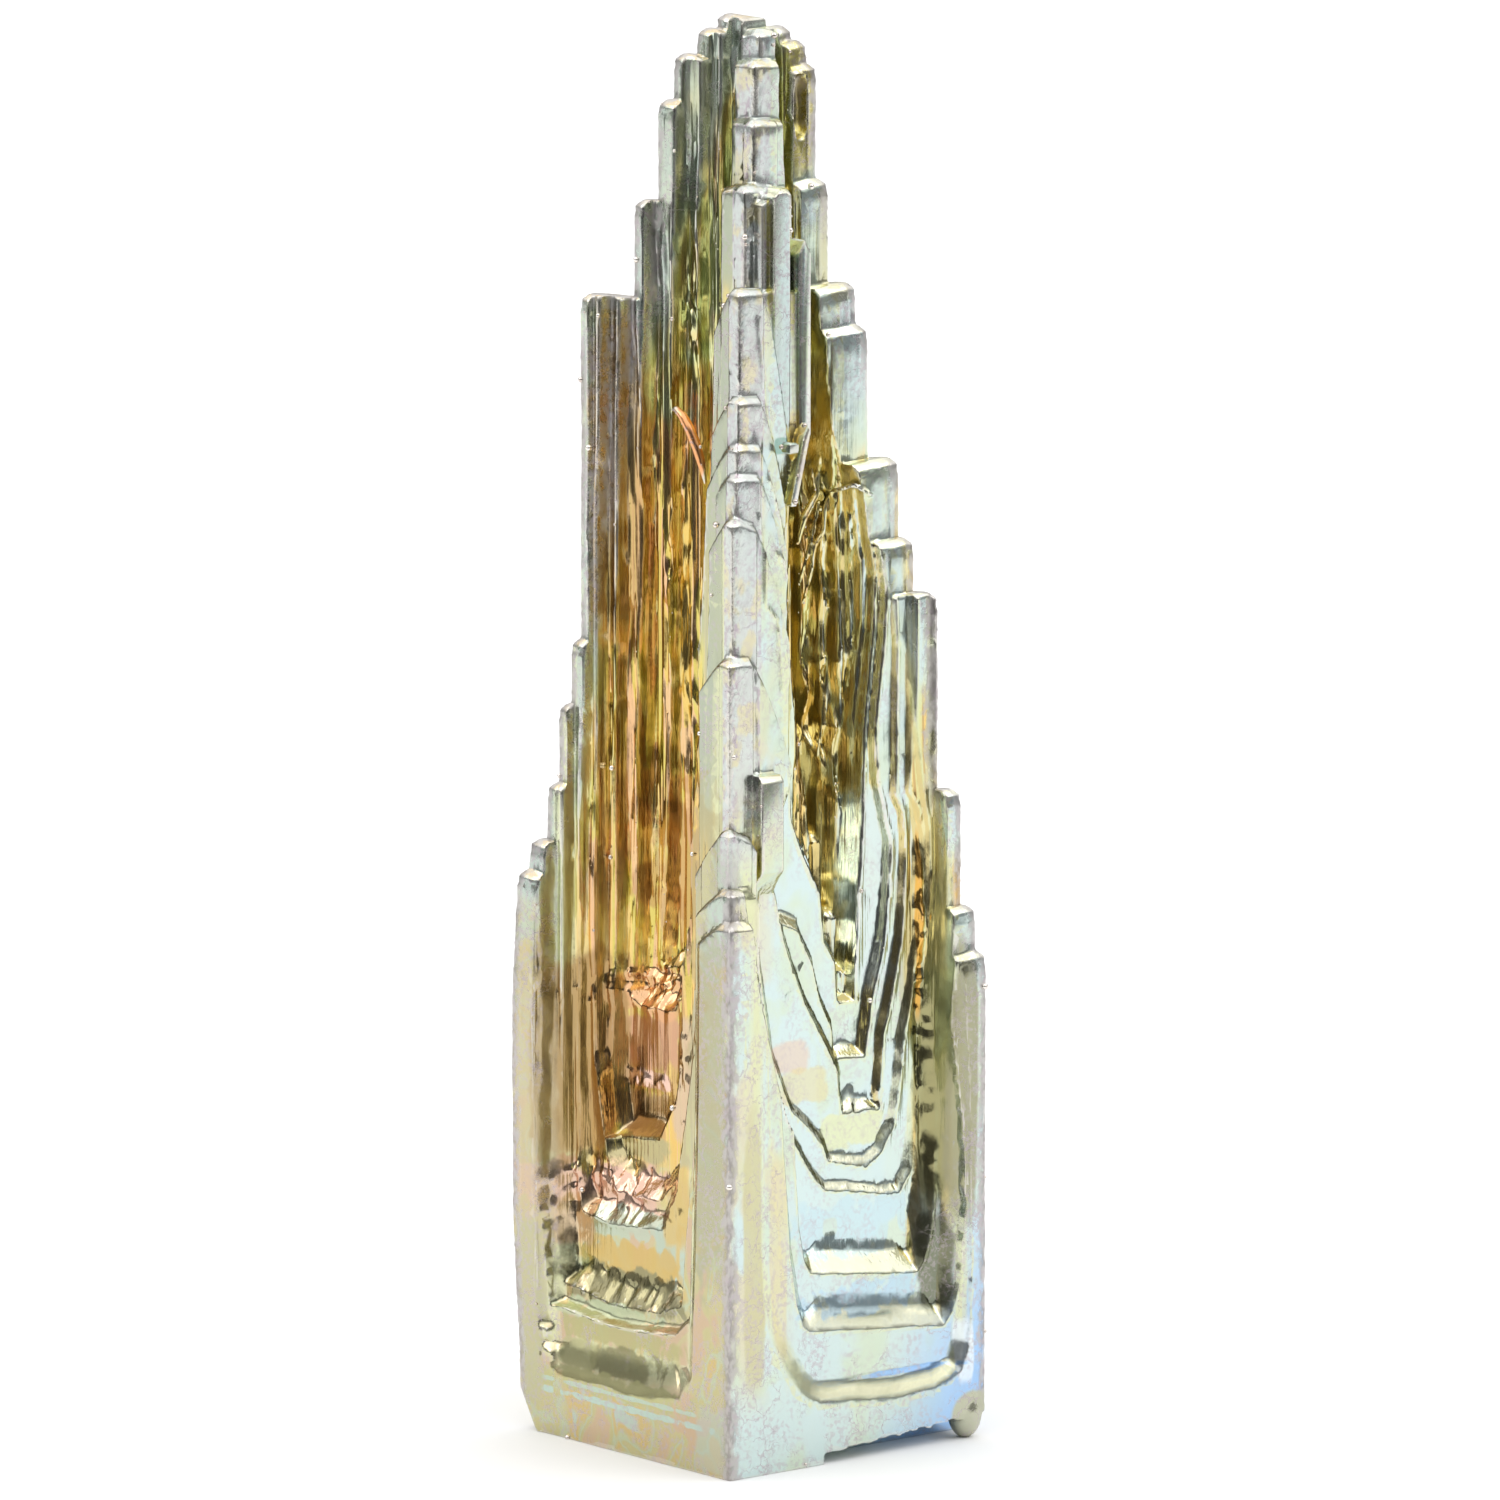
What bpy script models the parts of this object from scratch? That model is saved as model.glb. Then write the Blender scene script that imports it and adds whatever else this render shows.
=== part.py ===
# Bismuth hopper crystal: one grown piece, a tapering square tower.
# Four corner posts carry stepped tops, and each side between them is a stack of sunken terraces
# that narrows to a deep channel, so a level cut through the tower is an X with stepped arms.
# Lengths in the lists are millimetres. X and Y run square to the crystal's own faces.

import math

import bmesh
import bpy
from mathutils import Matrix, Vector

MM = 0.001
NODE = "bismuth_crystal"

CORE_OVERLAP = 0.35      # how far each post's steps reach past the axis
STEP_OVERLAP = 0.6       # how far a step starts below the top of the one outside it
TOP_BEVEL = 0.215        # the sloped edge round the top of every step
EDGE_LIFT = 0.03         # a terrace's lean starts this far in front of the floor that it is cut in
CUTTER_REACH = 3.0       # how far a cutter stands out in front of the wall it cuts
CUTTER_TOP = 56.0        # above the tip of the crystal

# Steps of the corner posts, outermost first: half width in X, half width in Y, height of the top.
NEAR_POST = [
    (5.73, 5.73, 19.5), (5.45, 5.45, 20.6), (5.20, 5.00, 22.6), (4.60, 4.34, 28.4),
    (4.22, 4.06, 33.2), (3.85, 3.82, 34.7), (3.66, 3.64, 35.7), (3.48, 3.46, 37.3),
    (3.14, 3.12, 41.0), (2.18, 2.24, 44.4), (1.48, 1.86, 46.6), (1.16, 1.54, 48.6),
    (0.74, 1.28, 49.6),
]
RIGHT_POST = [
    (5.73, 5.73, 17.3), (5.47, 5.47, 18.9), (5.10, 5.10, 23.0), (4.53, 4.52, 29.9),
    (3.93, 3.92, 31.8), (3.55, 3.53, 34.6), (2.79, 2.78, 39.2), (2.50, 2.48, 40.7),
    (1.82, 1.78, 44.3), (1.53, 1.50, 48.3), (1.31, 1.28, 49.1), (0.92, 0.90, 49.6),
]
REAR_POST = [
    (5.73, 5.73, 18.4), (5.44, 5.46, 19.8), (5.12, 5.08, 22.0), (4.67, 4.63, 26.1),
    (4.14, 4.18, 30.8), (3.76, 3.72, 33.0), (3.42, 3.44, 36.6), (2.86, 2.91, 39.8),
    (2.37, 2.41, 42.2), (1.91, 1.93, 45.2), (1.44, 1.42, 48.0), (0.96, 0.98, 49.4),
]
LEFT_POST = [
    (5.73, 5.73, 19.9), (5.43, 5.45, 21.0), (5.01, 5.03, 23.0), (4.72, 4.73, 25.8),
    (4.40, 4.42, 28.1), (4.16, 4.18, 40.2), (2.86, 2.84, 43.5), (2.27, 2.25, 47.0),
    (1.88, 1.86, 48.6), (1.31, 1.28, 49.5), (0.83, 0.82, 50.0),
]

# Terraces of a side, outermost first. depth: distance of the terrace's floor from the axis.
# rise: how far the floor's foot lies above the outline's foot. lean: the same for its sides.
# Outlines run down the left edge, along the foot and up the right edge, as (across, up).
# Every outline goes on straight up from its first and last points.
FRONT_TERRACES = [
    dict(depth=5.41, rise=0.9, lean=0.35, outline=[
        (-4.9, 8.1), (-4.5, 6.2), (-3.9, 4.5), (-3.1, 3.1), (-2.2, 2.4), (-0.8, 2.1),
        (3.8, 1.9), (4.5, 2.6), (4.9, 8.6), (4.8, 15.7), (4.6, 19.1)]),
    dict(depth=5.04, rise=0.9, lean=0.35, outline=[
        (-4.75, 20.3), (-4.1, 16.7), (-3.2, 13.1), (-2.8, 7.6), (-2.4, 4.7),
        (4.35, 4.6), (4.7, 9.5), (4.15, 12.3), (3.8, 14.8), (3.8, 17.5)]),
    dict(depth=4.46, rise=1.0, lean=0.3, outline=[
        (-3.8, 19.2), (-3.2, 14.9), (-2.2, 12.2), (-1.9, 8.3), (-1.7, 6.3),
        (3.7, 6.5), (4.0, 9.5), (3.85, 12.3), (3.65, 14.8), (3.75, 18.0), (4.2, 21.5)]),
    dict(depth=4.20, rise=0.9, lean=0.15, outline=[
        (-3.1, 24.0), (-2.3, 18.9), (-1.4, 17.4), (-0.8, 14.0), (-0.7, 9.2),
        (2.9, 9.2), (2.9, 12.0), (2.1, 14.6), (2.85, 18.0), (3.4, 20.2), (3.6, 23.4), (3.95, 25.5)]),
    dict(depth=3.90, rise=0.9, lean=0.15, outline=[
        (-2.8, 29.0), (-1.8, 21.5), (-0.6, 15.4), (-0.1, 10.9), (2.4, 10.9),
        (2.0, 14.4), (2.75, 18.0), (3.3, 20.4), (3.5, 23.6), (3.7, 26.0)]),
    dict(depth=3.58, rise=0.6, lean=0.15, outline=[
        (-2.4, 31.5), (-1.3, 21.5), (0.1, 15.4), (0.4, 13.4), (1.85, 13.4),
        (1.95, 14.8), (2.65, 18.1), (3.2, 20.6), (3.35, 24.0)]),
    dict(depth=3.06, rise=0.5, lean=0.1, outline=[
        (-0.7, 38.0), (-0.95, 29.0), (-0.8, 21.4), (-0.15, 19.0), (0.5, 17.0), (0.9, 15.8),
        (1.4, 15.8), (1.65, 20.0), (2.2, 25.0), (2.7, 28.5)]),
    dict(depth=2.62, rise=1.2, lean=0.1, outline=[
        (-0.65, 30.0), (-0.2, 21.0), (0.8, 17.2), (1.25, 17.2), (1.45, 20.5), (1.9, 25.5), (2.25, 29.0)]),
    dict(depth=2.06, rise=2.2, lean=0.1, outline=[
        (-0.45, 30.0), (0.3, 21.5), (0.85, 18.4), (1.15, 18.6), (1.6, 26.0), (1.75, 30.0)]),
    dict(depth=1.58, rise=2.4, lean=0.1, outline=[
        (-1.0, 42.0), (-0.3, 36.0), (0.25, 26.0), (0.75, 20.6), (1.0, 20.8), (1.3, 30.0),
        (1.25, 36.0), (0.65, 42.0)]),
    dict(depth=1.05, rise=3.0, lean=0.1, outline=[
        (-0.1, 36.0), (0.35, 24.0), (0.75, 24.0), (0.8, 36.0), (0.55, 42.0)]),
    dict(depth=0.62, rise=1.0, lean=0.05, outline=[(0.05, 46.0), (0.15, 44.0), (0.45, 44.0)]),
]
LEFT_TERRACES = [
    dict(depth=5.38, rise=0.5, lean=0.25, outline=[
        (-4.8, 8.3), (-4.7, 2.8), (-3.8, 2.2), (0.8, 2.1), (3.0, 2.4), (3.7, 3.2), (3.95, 9.6),
        (4.1, 16.7)]),
    dict(depth=4.94, rise=0.5, lean=0.2, outline=[
        (-4.65, 8.2), (-4.4, 3.1), (0.5, 3.0), (2.8, 3.4), (3.2, 4.9), (3.5, 14.0)]),
    dict(depth=4.46, rise=0.7, lean=0.2, outline=[
        (-4.3, 21.5), (-4.45, 8.2), (-4.3, 4.2), (-1.5, 3.6), (1.0, 3.8), (2.4, 4.4), (3.0, 12.0)]),
    dict(depth=4.05, rise=0.9, lean=0.3, outline=[
        (-3.3, 25.4), (-3.9, 21.5), (-4.2, 8.2), (-3.9, 5.2), (-2.5, 4.6), (1.2, 4.9),
        (2.1, 7.5), (2.6, 16.0)]),
    dict(depth=3.55, rise=0.8, lean=0.2, outline=[
        (-2.9, 38.0), (-3.2, 28.0), (-3.6, 20.0), (-3.9, 10.0), (-3.4, 7.8), (0.0, 8.2),
        (1.2, 9.6), (2.2, 19.0), (2.6, 30.0)]),
    dict(depth=2.96, rise=0.8, lean=0.2, outline=[
        (-2.5, 38.0), (-2.9, 22.0), (-3.4, 12.5), (-3.1, 10.6), (-0.7, 10.8), (0.3, 12.4),
        (0.9, 19.5), (1.6, 30.0), (2.1, 38.0)]),
    dict(depth=2.36, rise=0.9, lean=0.15, outline=[
        (-2.0, 38.0), (-2.4, 22.0), (-2.9, 12.6), (-1.3, 12.4), (-0.2, 13.8), (0.6, 19.5),
        (1.2, 30.0), (1.5, 38.0)]),
    dict(depth=1.72, rise=1.4, lean=0.1, outline=[
        (-1.45, 36.0), (-1.8, 22.0), (-2.2, 15.0), (-1.2, 15.0), (0.0, 17.8), (0.9, 30.0)]),
    dict(depth=1.12, rise=2.0, lean=0.1, outline=[
        (-0.75, 32.0), (-1.1, 18.6), (-0.1, 19.6), (0.6, 30.0)]),
    dict(depth=0.66, rise=1.0, lean=0.05, outline=[(-0.3, 44.0), (-0.2, 40.0), (0.4, 40.0)]),
]
REAR_TERRACES = [
    dict(depth=5.39, rise=0.4, lean=0.25, outline=[
        (-4.6, 18.0), (-4.8, 7.4), (-4.3, 4.2), (-3.2, 2.9), (2.6, 2.4), (4.0, 3.4), (4.7, 6.8),
        (4.9, 12.0)]),
    dict(depth=4.99, rise=0.8, lean=0.3, outline=[
        (-4.2, 17.0), (-4.4, 8.0), (-3.6, 4.9), (2.8, 4.4), (3.7, 6.2), (4.5, 17.0)]),
    dict(depth=4.50, rise=0.7, lean=0.4, outline=[
        (-3.9, 24.0), (-3.4, 14.0), (-3.2, 7.6), (-2.3, 6.6), (2.3, 6.9), (3.0, 10.0), (4.0, 22.0)]),
    dict(depth=4.02, rise=0.9, lean=0.2, outline=[
        (-3.4, 26.0), (-2.7, 14.0), (-2.4, 9.4), (1.6, 9.0), (2.3, 12.0), (3.4, 25.0)]),
    dict(depth=3.52, rise=0.8, lean=0.2, outline=[
        (-2.9, 28.0), (-2.2, 16.0), (-1.8, 11.2), (0.9, 11.4), (1.8, 14.0), (2.9, 27.0)]),
    dict(depth=2.98, rise=1.0, lean=0.2, outline=[
        (-2.4, 30.0), (-1.7, 18.0), (-1.3, 13.4), (0.6, 13.2), (1.4, 17.0), (2.4, 29.0)]),
    dict(depth=2.44, rise=1.2, lean=0.15, outline=[
        (-1.9, 32.0), (-1.1, 18.0), (-0.6, 15.8), (0.4, 16.0), (1.1, 20.0), (1.9, 32.0)]),
    dict(depth=1.84, rise=1.8, lean=0.1, outline=[
        (-1.4, 33.0), (-0.8, 22.0), (-0.3, 18.4), (0.3, 18.4), (1.3, 32.0)]),
    dict(depth=1.22, rise=2.4, lean=0.1, outline=[
        (-0.8, 34.0), (-0.3, 22.4), (0.3, 22.4), (0.8, 34.0)]),
    dict(depth=0.70, rise=1.0, lean=0.05, outline=[(-0.35, 42.6), (0.3, 42.6)]),
]
RIGHT_TERRACES = [
    dict(depth=5.40, rise=0.4, lean=0.25, outline=[
        (-4.7, 9.0), (-4.3, 4.6), (-3.0, 2.6), (3.1, 2.3), (4.3, 3.8), (4.8, 10.0), (4.5, 17.0)]),
    dict(depth=4.98, rise=0.9, lean=0.3, outline=[
        (-4.4, 17.0), (-4.0, 8.4), (-3.4, 4.3), (3.0, 4.0), (3.9, 5.6), (4.4, 12.0)]),
    dict(depth=4.44, rise=0.9, lean=0.4, outline=[
        (-3.9, 22.0), (-3.5, 14.0), (-2.9, 6.4), (2.4, 6.0), (3.3, 8.2), (3.9, 19.0)]),
    dict(depth=4.00, rise=0.5, lean=0.2, outline=[
        (-3.3, 26.0), (-2.8, 14.0), (-2.2, 8.6), (1.9, 8.4), (2.7, 12.0), (3.4, 24.0)]),
    dict(depth=3.46, rise=0.9, lean=0.2, outline=[
        (-2.8, 28.0), (-2.3, 16.0), (-1.6, 10.6), (1.4, 10.4), (2.2, 15.0), (2.9, 27.0)]),
    dict(depth=2.94, rise=0.9, lean=0.2, outline=[
        (-2.3, 30.0), (-1.7, 17.0), (-1.0, 12.8), (1.0, 12.9), (1.7, 17.0), (2.4, 29.0)]),
    dict(depth=2.32, rise=1.2, lean=0.15, outline=[
        (-1.7, 30.0), (-1.1, 18.0), (-0.5, 15.2), (0.7, 15.4), (1.2, 20.0), (1.9, 31.0)]),
    dict(depth=1.72, rise=1.8, lean=0.1, outline=[
        (-1.1, 32.0), (-0.5, 20.0), (0.0, 17.8), (0.6, 18.0), (1.3, 32.0)]),
    dict(depth=1.14, rise=2.4, lean=0.1, outline=[
        (-0.7, 34.0), (-0.2, 22.0), (0.4, 22.0), (0.7, 34.0)]),
    dict(depth=0.66, rise=1.0, lean=0.05, outline=[(-0.3, 43.4), (0.35, 43.4)]),
]

# Flutes: pointed grooves that run up the channel walls as (across, foot, floor's distance from
# the axis), all FLUTE_WIDTH wide and FLUTE_POINT from their tip to their full width.
FLUTE_WIDTH = 0.34
FLUTE_POINT = 2.4
FRONT_FLUTES = [
    (2.56, 26.0, 2.88), (2.04, 25.0, 2.36), (1.44, 22.5, 1.84), (0.56, 28.0, 0.78),
    (3.10, 29.4, 3.38), (-2.02, 32.0, 3.10), (-1.32, 29.0, 2.94), (3.06, 22.2, 3.44),
]
LEFT_FLUTES = [
    (-3.34, 27.0, 3.76), (-2.72, 21.0, 3.22), (-2.24, 18.0, 2.62), (-1.66, 20.0, 2.02),
    (-0.94, 23.5, 1.42), (-0.16, 26.0, 0.84), (1.80, 34.0, 2.66), (-4.10, 12.0, 4.26),
]
REAR_FLUTES = [
    (-2.66, 20.0, 3.24), (-2.10, 22.0, 2.66), (-1.56, 24.0, 2.12), (0.02, 28.0, 0.92),
    (1.54, 22.0, 2.16), (2.08, 20.0, 2.66), (2.66, 18.0, 3.19), (3.56, 11.0, 4.70),
]
RIGHT_FLUTES = [
    (-2.56, 21.0, 3.18), (-1.98, 23.0, 2.55), (-1.38, 25.0, 2.00), (0.04, 27.0, 0.86),
    (1.48, 24.0, 1.98), (2.10, 21.0, 2.56), (2.62, 19.0, 3.16), (-3.70, 10.0, 4.66),
]

# The chip off the foot of the front wall, and the bead that ran down and set under the right edge.
CHIP_LEFT = -1.36
CHIP_HEIGHT = 0.36
CHIP_HEIGHT_AT_CORNER = 0.85
CHIP_DEPTH = 1.5
BEAD_CENTRE = (5.34, -5.33)
BEAD_RADIUS = 0.42
BEAD_HEIGHT = 1.5
BEAD_SIDES = 8

# A short column that grew by itself on the front wall, beside the near post.
COLUMN_ACROSS = (-3.55, -2.55)
COLUMN_DEPTHS = (4.20, 4.85)
COLUMN_HEIGHTS = (19.8, 20.9, 24.3)


def clear_scene():
    for old in list(bpy.data.objects):
        bpy.data.objects.remove(old, do_unlink=True)


def finish_mesh(bm, name):
    """Closes a bmesh of millimetre points as an object in metres, with its faces pointing out."""
    bmesh.ops.recalc_face_normals(bm, faces=bm.faces)
    bmesh.ops.scale(bm, vec=(MM, MM, MM), verts=bm.verts)
    mesh = bpy.data.meshes.new(name)
    bm.to_mesh(mesh)
    bm.free()
    thing = bpy.data.objects.new(name, mesh)
    bpy.context.scene.collection.objects.link(thing)
    return thing


def loft(rings, name):
    """A closed solid through rings of the same number of points, capped at both ends."""
    bm = bmesh.new()
    rows = [[bm.verts.new(point) for point in ring] for ring in rings]
    count = len(rings[0])
    for low, high in zip(rows, rows[1:]):
        for here in range(count):
            after = (here + 1) % count
            bm.faces.new((low[here], low[after], high[after], high[here]))
    bmesh.ops.triangulate(bm, faces=bm.faces)
    bm.faces.new(rows[0])
    bm.faces.new(rows[-1])
    return finish_mesh(bm, name)


def combine(body, tools, operation):
    """Joins all the tools to the body, or cuts them all away, in one step, and removes them."""
    group = bpy.data.collections.new("tools")
    for tool in tools:
        tool.hide_render = True
        tool.display_type = "WIRE"
        group.objects.link(tool)
    boolean = body.modifiers.new(operation.lower(), "BOOLEAN")
    boolean.operation = operation
    boolean.solver = "EXACT"
    boolean.operand_type = "COLLECTION"
    boolean.collection = group
    view = bpy.context.evaluated_depsgraph_get()
    result = bpy.data.meshes.new_from_object(body.evaluated_get(view))
    body.modifiers.clear()
    body.data = result
    for tool in tools:
        bpy.data.objects.remove(tool, do_unlink=True)
    bpy.data.collections.remove(group)


def post_step(side_x, side_y, half_x, half_y, foot, top):
    """One step of a corner post: a block with a sloped edge round its top."""
    def ring(height, inset):
        near, far = -CORE_OVERLAP, CORE_OVERLAP
        x_out, y_out = side_x * (half_x - inset), side_y * (half_y - inset)
        x_in, y_in = (near if side_x > 0 else far), (near if side_y > 0 else far)
        return [(x_in, y_in, height), (x_out, y_in, height),
                (x_out, y_out, height), (x_in, y_out, height)]
    rings = [ring(foot, 0.0), ring(top - TOP_BEVEL, 0.0), ring(top, TOP_BEVEL)]
    return loft(rings, "post_step")


def post_steps(side_x, side_y, post):
    foot = 0.0
    for half_x, half_y, top in post:
        yield post_step(side_x, side_y, half_x, half_y, foot, top)
        foot = top - STEP_OVERLAP


def inward(outline, index):
    """The direction into the terrace at one point of its outline, as (across, up)."""
    before = Vector(outline[max(index - 1, 0)])
    here = Vector(outline[index])
    after = Vector(outline[min(index + 1, len(outline) - 1)])
    if index == 0:
        before = here + Vector((0.0, 1.0))
    if index == len(outline) - 1:
        after = here + Vector((0.0, 1.0))
    normals = Vector((0.0, 0.0))
    for start, end in ((before, here), (here, after)):
        along = (end - start).normalized()
        normals += Vector((-along.y, along.x))
    return normals.normalized()


def terrace_cutter(terrace, outer_depth):
    """The space over one terrace: its sloping foot and leaning sides, open in front and above."""
    outline = terrace["outline"]
    foot = min(up for across, up in outline)
    lean_height = 14.0
    floor_ring = []
    for index, (across, up) in enumerate(outline):
        into = inward(outline, index)
        fade = max(0.0, 1.0 - (up - foot) / lean_height)
        floor_ring.append((across + into.x * terrace["lean"] * fade,
                           up + max(into.y, 0.0) * terrace["rise"]))

    def ring(points, depth):
        closed = [(points[0][0], CUTTER_TOP)] + points + [(points[-1][0], CUTTER_TOP)]
        return [(across, -depth, up) for across, up in closed]
    rings = [ring(floor_ring, terrace["depth"]), ring(outline, outer_depth),
             ring(outline, outer_depth + CUTTER_REACH)]
    return loft(rings, "terrace")


def flute_cutter(across, foot, depth):
    """A narrow groove with a pointed foot, open above."""
    half = FLUTE_WIDTH / 2
    outline = [(across - half, CUTTER_TOP), (across - half, foot + FLUTE_POINT), (across, foot),
               (across + half, foot + FLUTE_POINT), (across + half, CUTTER_TOP)]
    rings = [[(side, -distance, up) for side, up in outline]
             for distance in (depth, depth + CUTTER_REACH)]
    return loft(rings, "flute")


def side_cutters(terraces, flutes, turn):
    """All the cutters of one side, made for the front and turned about the axis in degrees."""
    outer_depth = 5.73
    cutters = []
    for terrace in terraces:
        cutters.append(terrace_cutter(terrace, outer_depth + EDGE_LIFT))
        outer_depth = terrace["depth"]
    cutters += [flute_cutter(*flute) for flute in flutes]
    for cutter in cutters:
        cutter.data.transform(Matrix.Rotation(math.radians(turn), 4, "Z"))
    return cutters


def chip_cutter():
    """The wedge missing under the front wall, deeper towards the right corner."""
    below = -1.0
    left, right = CHIP_LEFT, 7.0
    front, back = -7.0, -5.73 + CHIP_DEPTH
    low = [(left, front, below), (right, front, below), (right, back, below), (left, back, below)]
    high = [(left, front, CHIP_HEIGHT), (right, front, CHIP_HEIGHT_AT_CORNER),
            (right, back, CHIP_HEIGHT_AT_CORNER), (left, back, CHIP_HEIGHT)]
    return loft([low, high], "chip")


def bead():
    """A small drop of metal under the right edge, flat where it meets the ground."""
    profile = [(0.80, 0.0), (1.0, 0.35), (0.95, 0.8), (0.6, BEAD_HEIGHT)]
    rings = []
    for share, height in profile:
        ring = []
        for side in range(BEAD_SIDES):
            angle = 2 * math.pi * (side + 0.5) / BEAD_SIDES
            ring.append((BEAD_CENTRE[0] + BEAD_RADIUS * share * math.cos(angle),
                         BEAD_CENTRE[1] + BEAD_RADIUS * share * math.sin(angle), height))
        rings.append(ring)
    return loft(rings, "bead")


def column():
    """The short column: it swells out of the wall at its foot and has the sloped edge of a step."""
    left, right = COLUMN_ACROSS
    back, front = COLUMN_DEPTHS
    foot, shoulder, top = COLUMN_HEIGHTS

    def ring(height, inset, reach):
        return [(left + inset, -reach, height), (right - inset, -reach, height),
                (right - inset, -back, height), (left + inset, -back, height)]
    rings = [ring(foot, TOP_BEVEL, back + TOP_BEVEL), ring(shoulder, 0.0, front),
             ring(top - TOP_BEVEL, 0.0, front), ring(top, TOP_BEVEL, front - TOP_BEVEL)]
    return loft(rings, "column")


def oxide_metal():
    metal = bpy.data.materials.new("oxidised_bismuth")
    metal.use_nodes = True
    shader = metal.node_tree.nodes["Principled BSDF"]
    shader.inputs["Base Color"].default_value = (0.52, 0.54, 0.36, 1.0)
    shader.inputs["Metallic"].default_value = 0.9
    shader.inputs["Roughness"].default_value = 0.3
    return metal


def build_crystal():
    corners = [(-1, -1, NEAR_POST), (1, -1, RIGHT_POST), (1, 1, REAR_POST), (-1, 1, LEFT_POST)]
    blocks = [block for side_x, side_y, post in corners
              for block in post_steps(side_x, side_y, post)]
    crystal = blocks.pop(0)
    crystal.name = NODE
    combine(crystal, blocks, "UNION")
    sides = [(FRONT_TERRACES, FRONT_FLUTES, 0), (RIGHT_TERRACES, RIGHT_FLUTES, 90),
             (REAR_TERRACES, REAR_FLUTES, 180), (LEFT_TERRACES, LEFT_FLUTES, -90)]
    cutters = [cutter for terraces, flutes, turn in sides
               for cutter in side_cutters(terraces, flutes, turn)]
    combine(crystal, cutters + [chip_cutter()], "DIFFERENCE")
    combine(crystal, [bead(), column()], "UNION")
    crystal.data.name = NODE
    crystal.data.materials.clear()
    crystal.data.materials.append(oxide_metal())
    return crystal


clear_scene()
build_crystal()
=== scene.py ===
import math

import bpy
import numpy as np
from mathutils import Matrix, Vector


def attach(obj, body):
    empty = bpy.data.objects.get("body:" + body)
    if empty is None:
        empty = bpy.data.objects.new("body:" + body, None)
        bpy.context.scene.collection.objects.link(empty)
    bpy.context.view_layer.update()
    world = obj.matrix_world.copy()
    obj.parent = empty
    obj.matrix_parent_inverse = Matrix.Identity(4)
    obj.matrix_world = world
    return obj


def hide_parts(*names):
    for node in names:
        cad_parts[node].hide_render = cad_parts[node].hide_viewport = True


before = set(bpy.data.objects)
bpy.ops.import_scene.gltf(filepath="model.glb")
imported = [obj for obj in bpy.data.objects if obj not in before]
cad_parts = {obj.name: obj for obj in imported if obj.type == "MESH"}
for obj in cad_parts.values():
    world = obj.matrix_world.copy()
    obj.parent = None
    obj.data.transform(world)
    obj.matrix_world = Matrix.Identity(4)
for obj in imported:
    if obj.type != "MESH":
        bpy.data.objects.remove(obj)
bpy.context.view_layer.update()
mm = 0.001


def hexColor(code):
    # sRGB hex to the linear colour that shaders take
    parts = [int(code[i:i + 2], 16) / 255 for i in (1, 3, 5)]
    return tuple(p / 12.92 if p <= 0.04045 else ((p + 0.055) / 1.055) ** 2.4 for p in parts) + (1.0,)


def addNode(tree, kind, values):
    # one node: each value goes to a property, or to an input by name or number, as a constant or a link
    node = tree.nodes.new(kind)
    for key, value in values.items():
        if isinstance(key, str) and hasattr(node, key):
            setattr(node, key, value)
        elif isinstance(value, bpy.types.NodeSocket):
            tree.links.new(value, node.inputs[key])
        else:
            node.inputs[key].default_value = value
    return node


class Level:
    # a node's output that can be reckoned with: every sign adds one Math node
    def __init__(self, socket):
        self.socket = socket

    def math(self, kind, other=0.0, third=0.0):
        values = {"operation": kind}
        for n, value in enumerate((self, other, third)):
            values[n] = value.socket if isinstance(value, Level) else value
        return Level(addNode(self.socket.id_data, "ShaderNodeMath", values).outputs[0])

    def __add__(self, other):
        return self.math("ADD", other)

    def __sub__(self, other):
        return self.math("SUBTRACT", other)

    def __rsub__(self, other):
        return self.math("MULTIPLY_ADD", -1.0, other)

    def __mul__(self, other):
        return self.math("MULTIPLY", other)

    def __abs__(self):
        return self.math("ABSOLUTE")


# ---- camera: a long lens, so the tower's sides stay almost parallel ----
camera = {"azimuth": -39.5, "elevation": 9.6, "distance": 500.0, "lens": 345.0, "aimHeight": 24.25,
          "aimAside": -0.07}


def outwards(azimuth, elevation):
    turn, tilt = math.radians(azimuth), math.radians(elevation)
    return Vector((math.sin(turn) * math.cos(tilt), -math.cos(turn) * math.cos(tilt), math.sin(tilt)))


def setDown(name, data, aim, towards, distance):
    # an object at a distance from its aim, looking back at it
    thing = bpy.data.objects.new(name, data)
    thing.location = aim + towards * distance
    thing.rotation_euler = (-towards).to_track_quat("-Z", "Y").to_euler()
    bpy.context.scene.collection.objects.link(thing)
    return thing


def makeCamera(s):
    turn = math.radians(s["azimuth"])
    aim = Vector((s["aimAside"] * math.cos(turn), s["aimAside"] * math.sin(turn), s["aimHeight"]))
    data = bpy.data.cameras.new("camera")
    data.sensor_width = 36.0
    data.lens = s["lens"]
    data.clip_start, data.clip_end = 0.01, 20.0
    towards = outwards(s["azimuth"], s["elevation"])
    bpy.context.scene.camera = setDown("camera", data, aim * mm, towards, s["distance"] * mm)


makeCamera(camera)
print("camera set")

# ---- the crystal: lengths in millimetres, the same growth steps as the solid ----
crystal = {
    "stepAcross": 0.064,     # grid the surface is grown on
    "stepUp": 0.105,
    "triangles": 188000,
    "halfBase": 5.73,
    "coreOverlap": 0.35,
    "bevel": 0.21,                                  # sloped edge round the top of a step
    "cornerBevel": 0.04,
    "wobble": 0.02,                                 # how unevenly the posts' faces grew
    "outlineWave": 0.05,                            # and the outlines of the terraces
    "outlineGrain": 0.015,
    "lip": 0.03,                                    # raised rim along a terrace's edge
    "ribDepth": 0.14,
    "ribWidth": 0.44,
    "crumple": 0.22,
}
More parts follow.
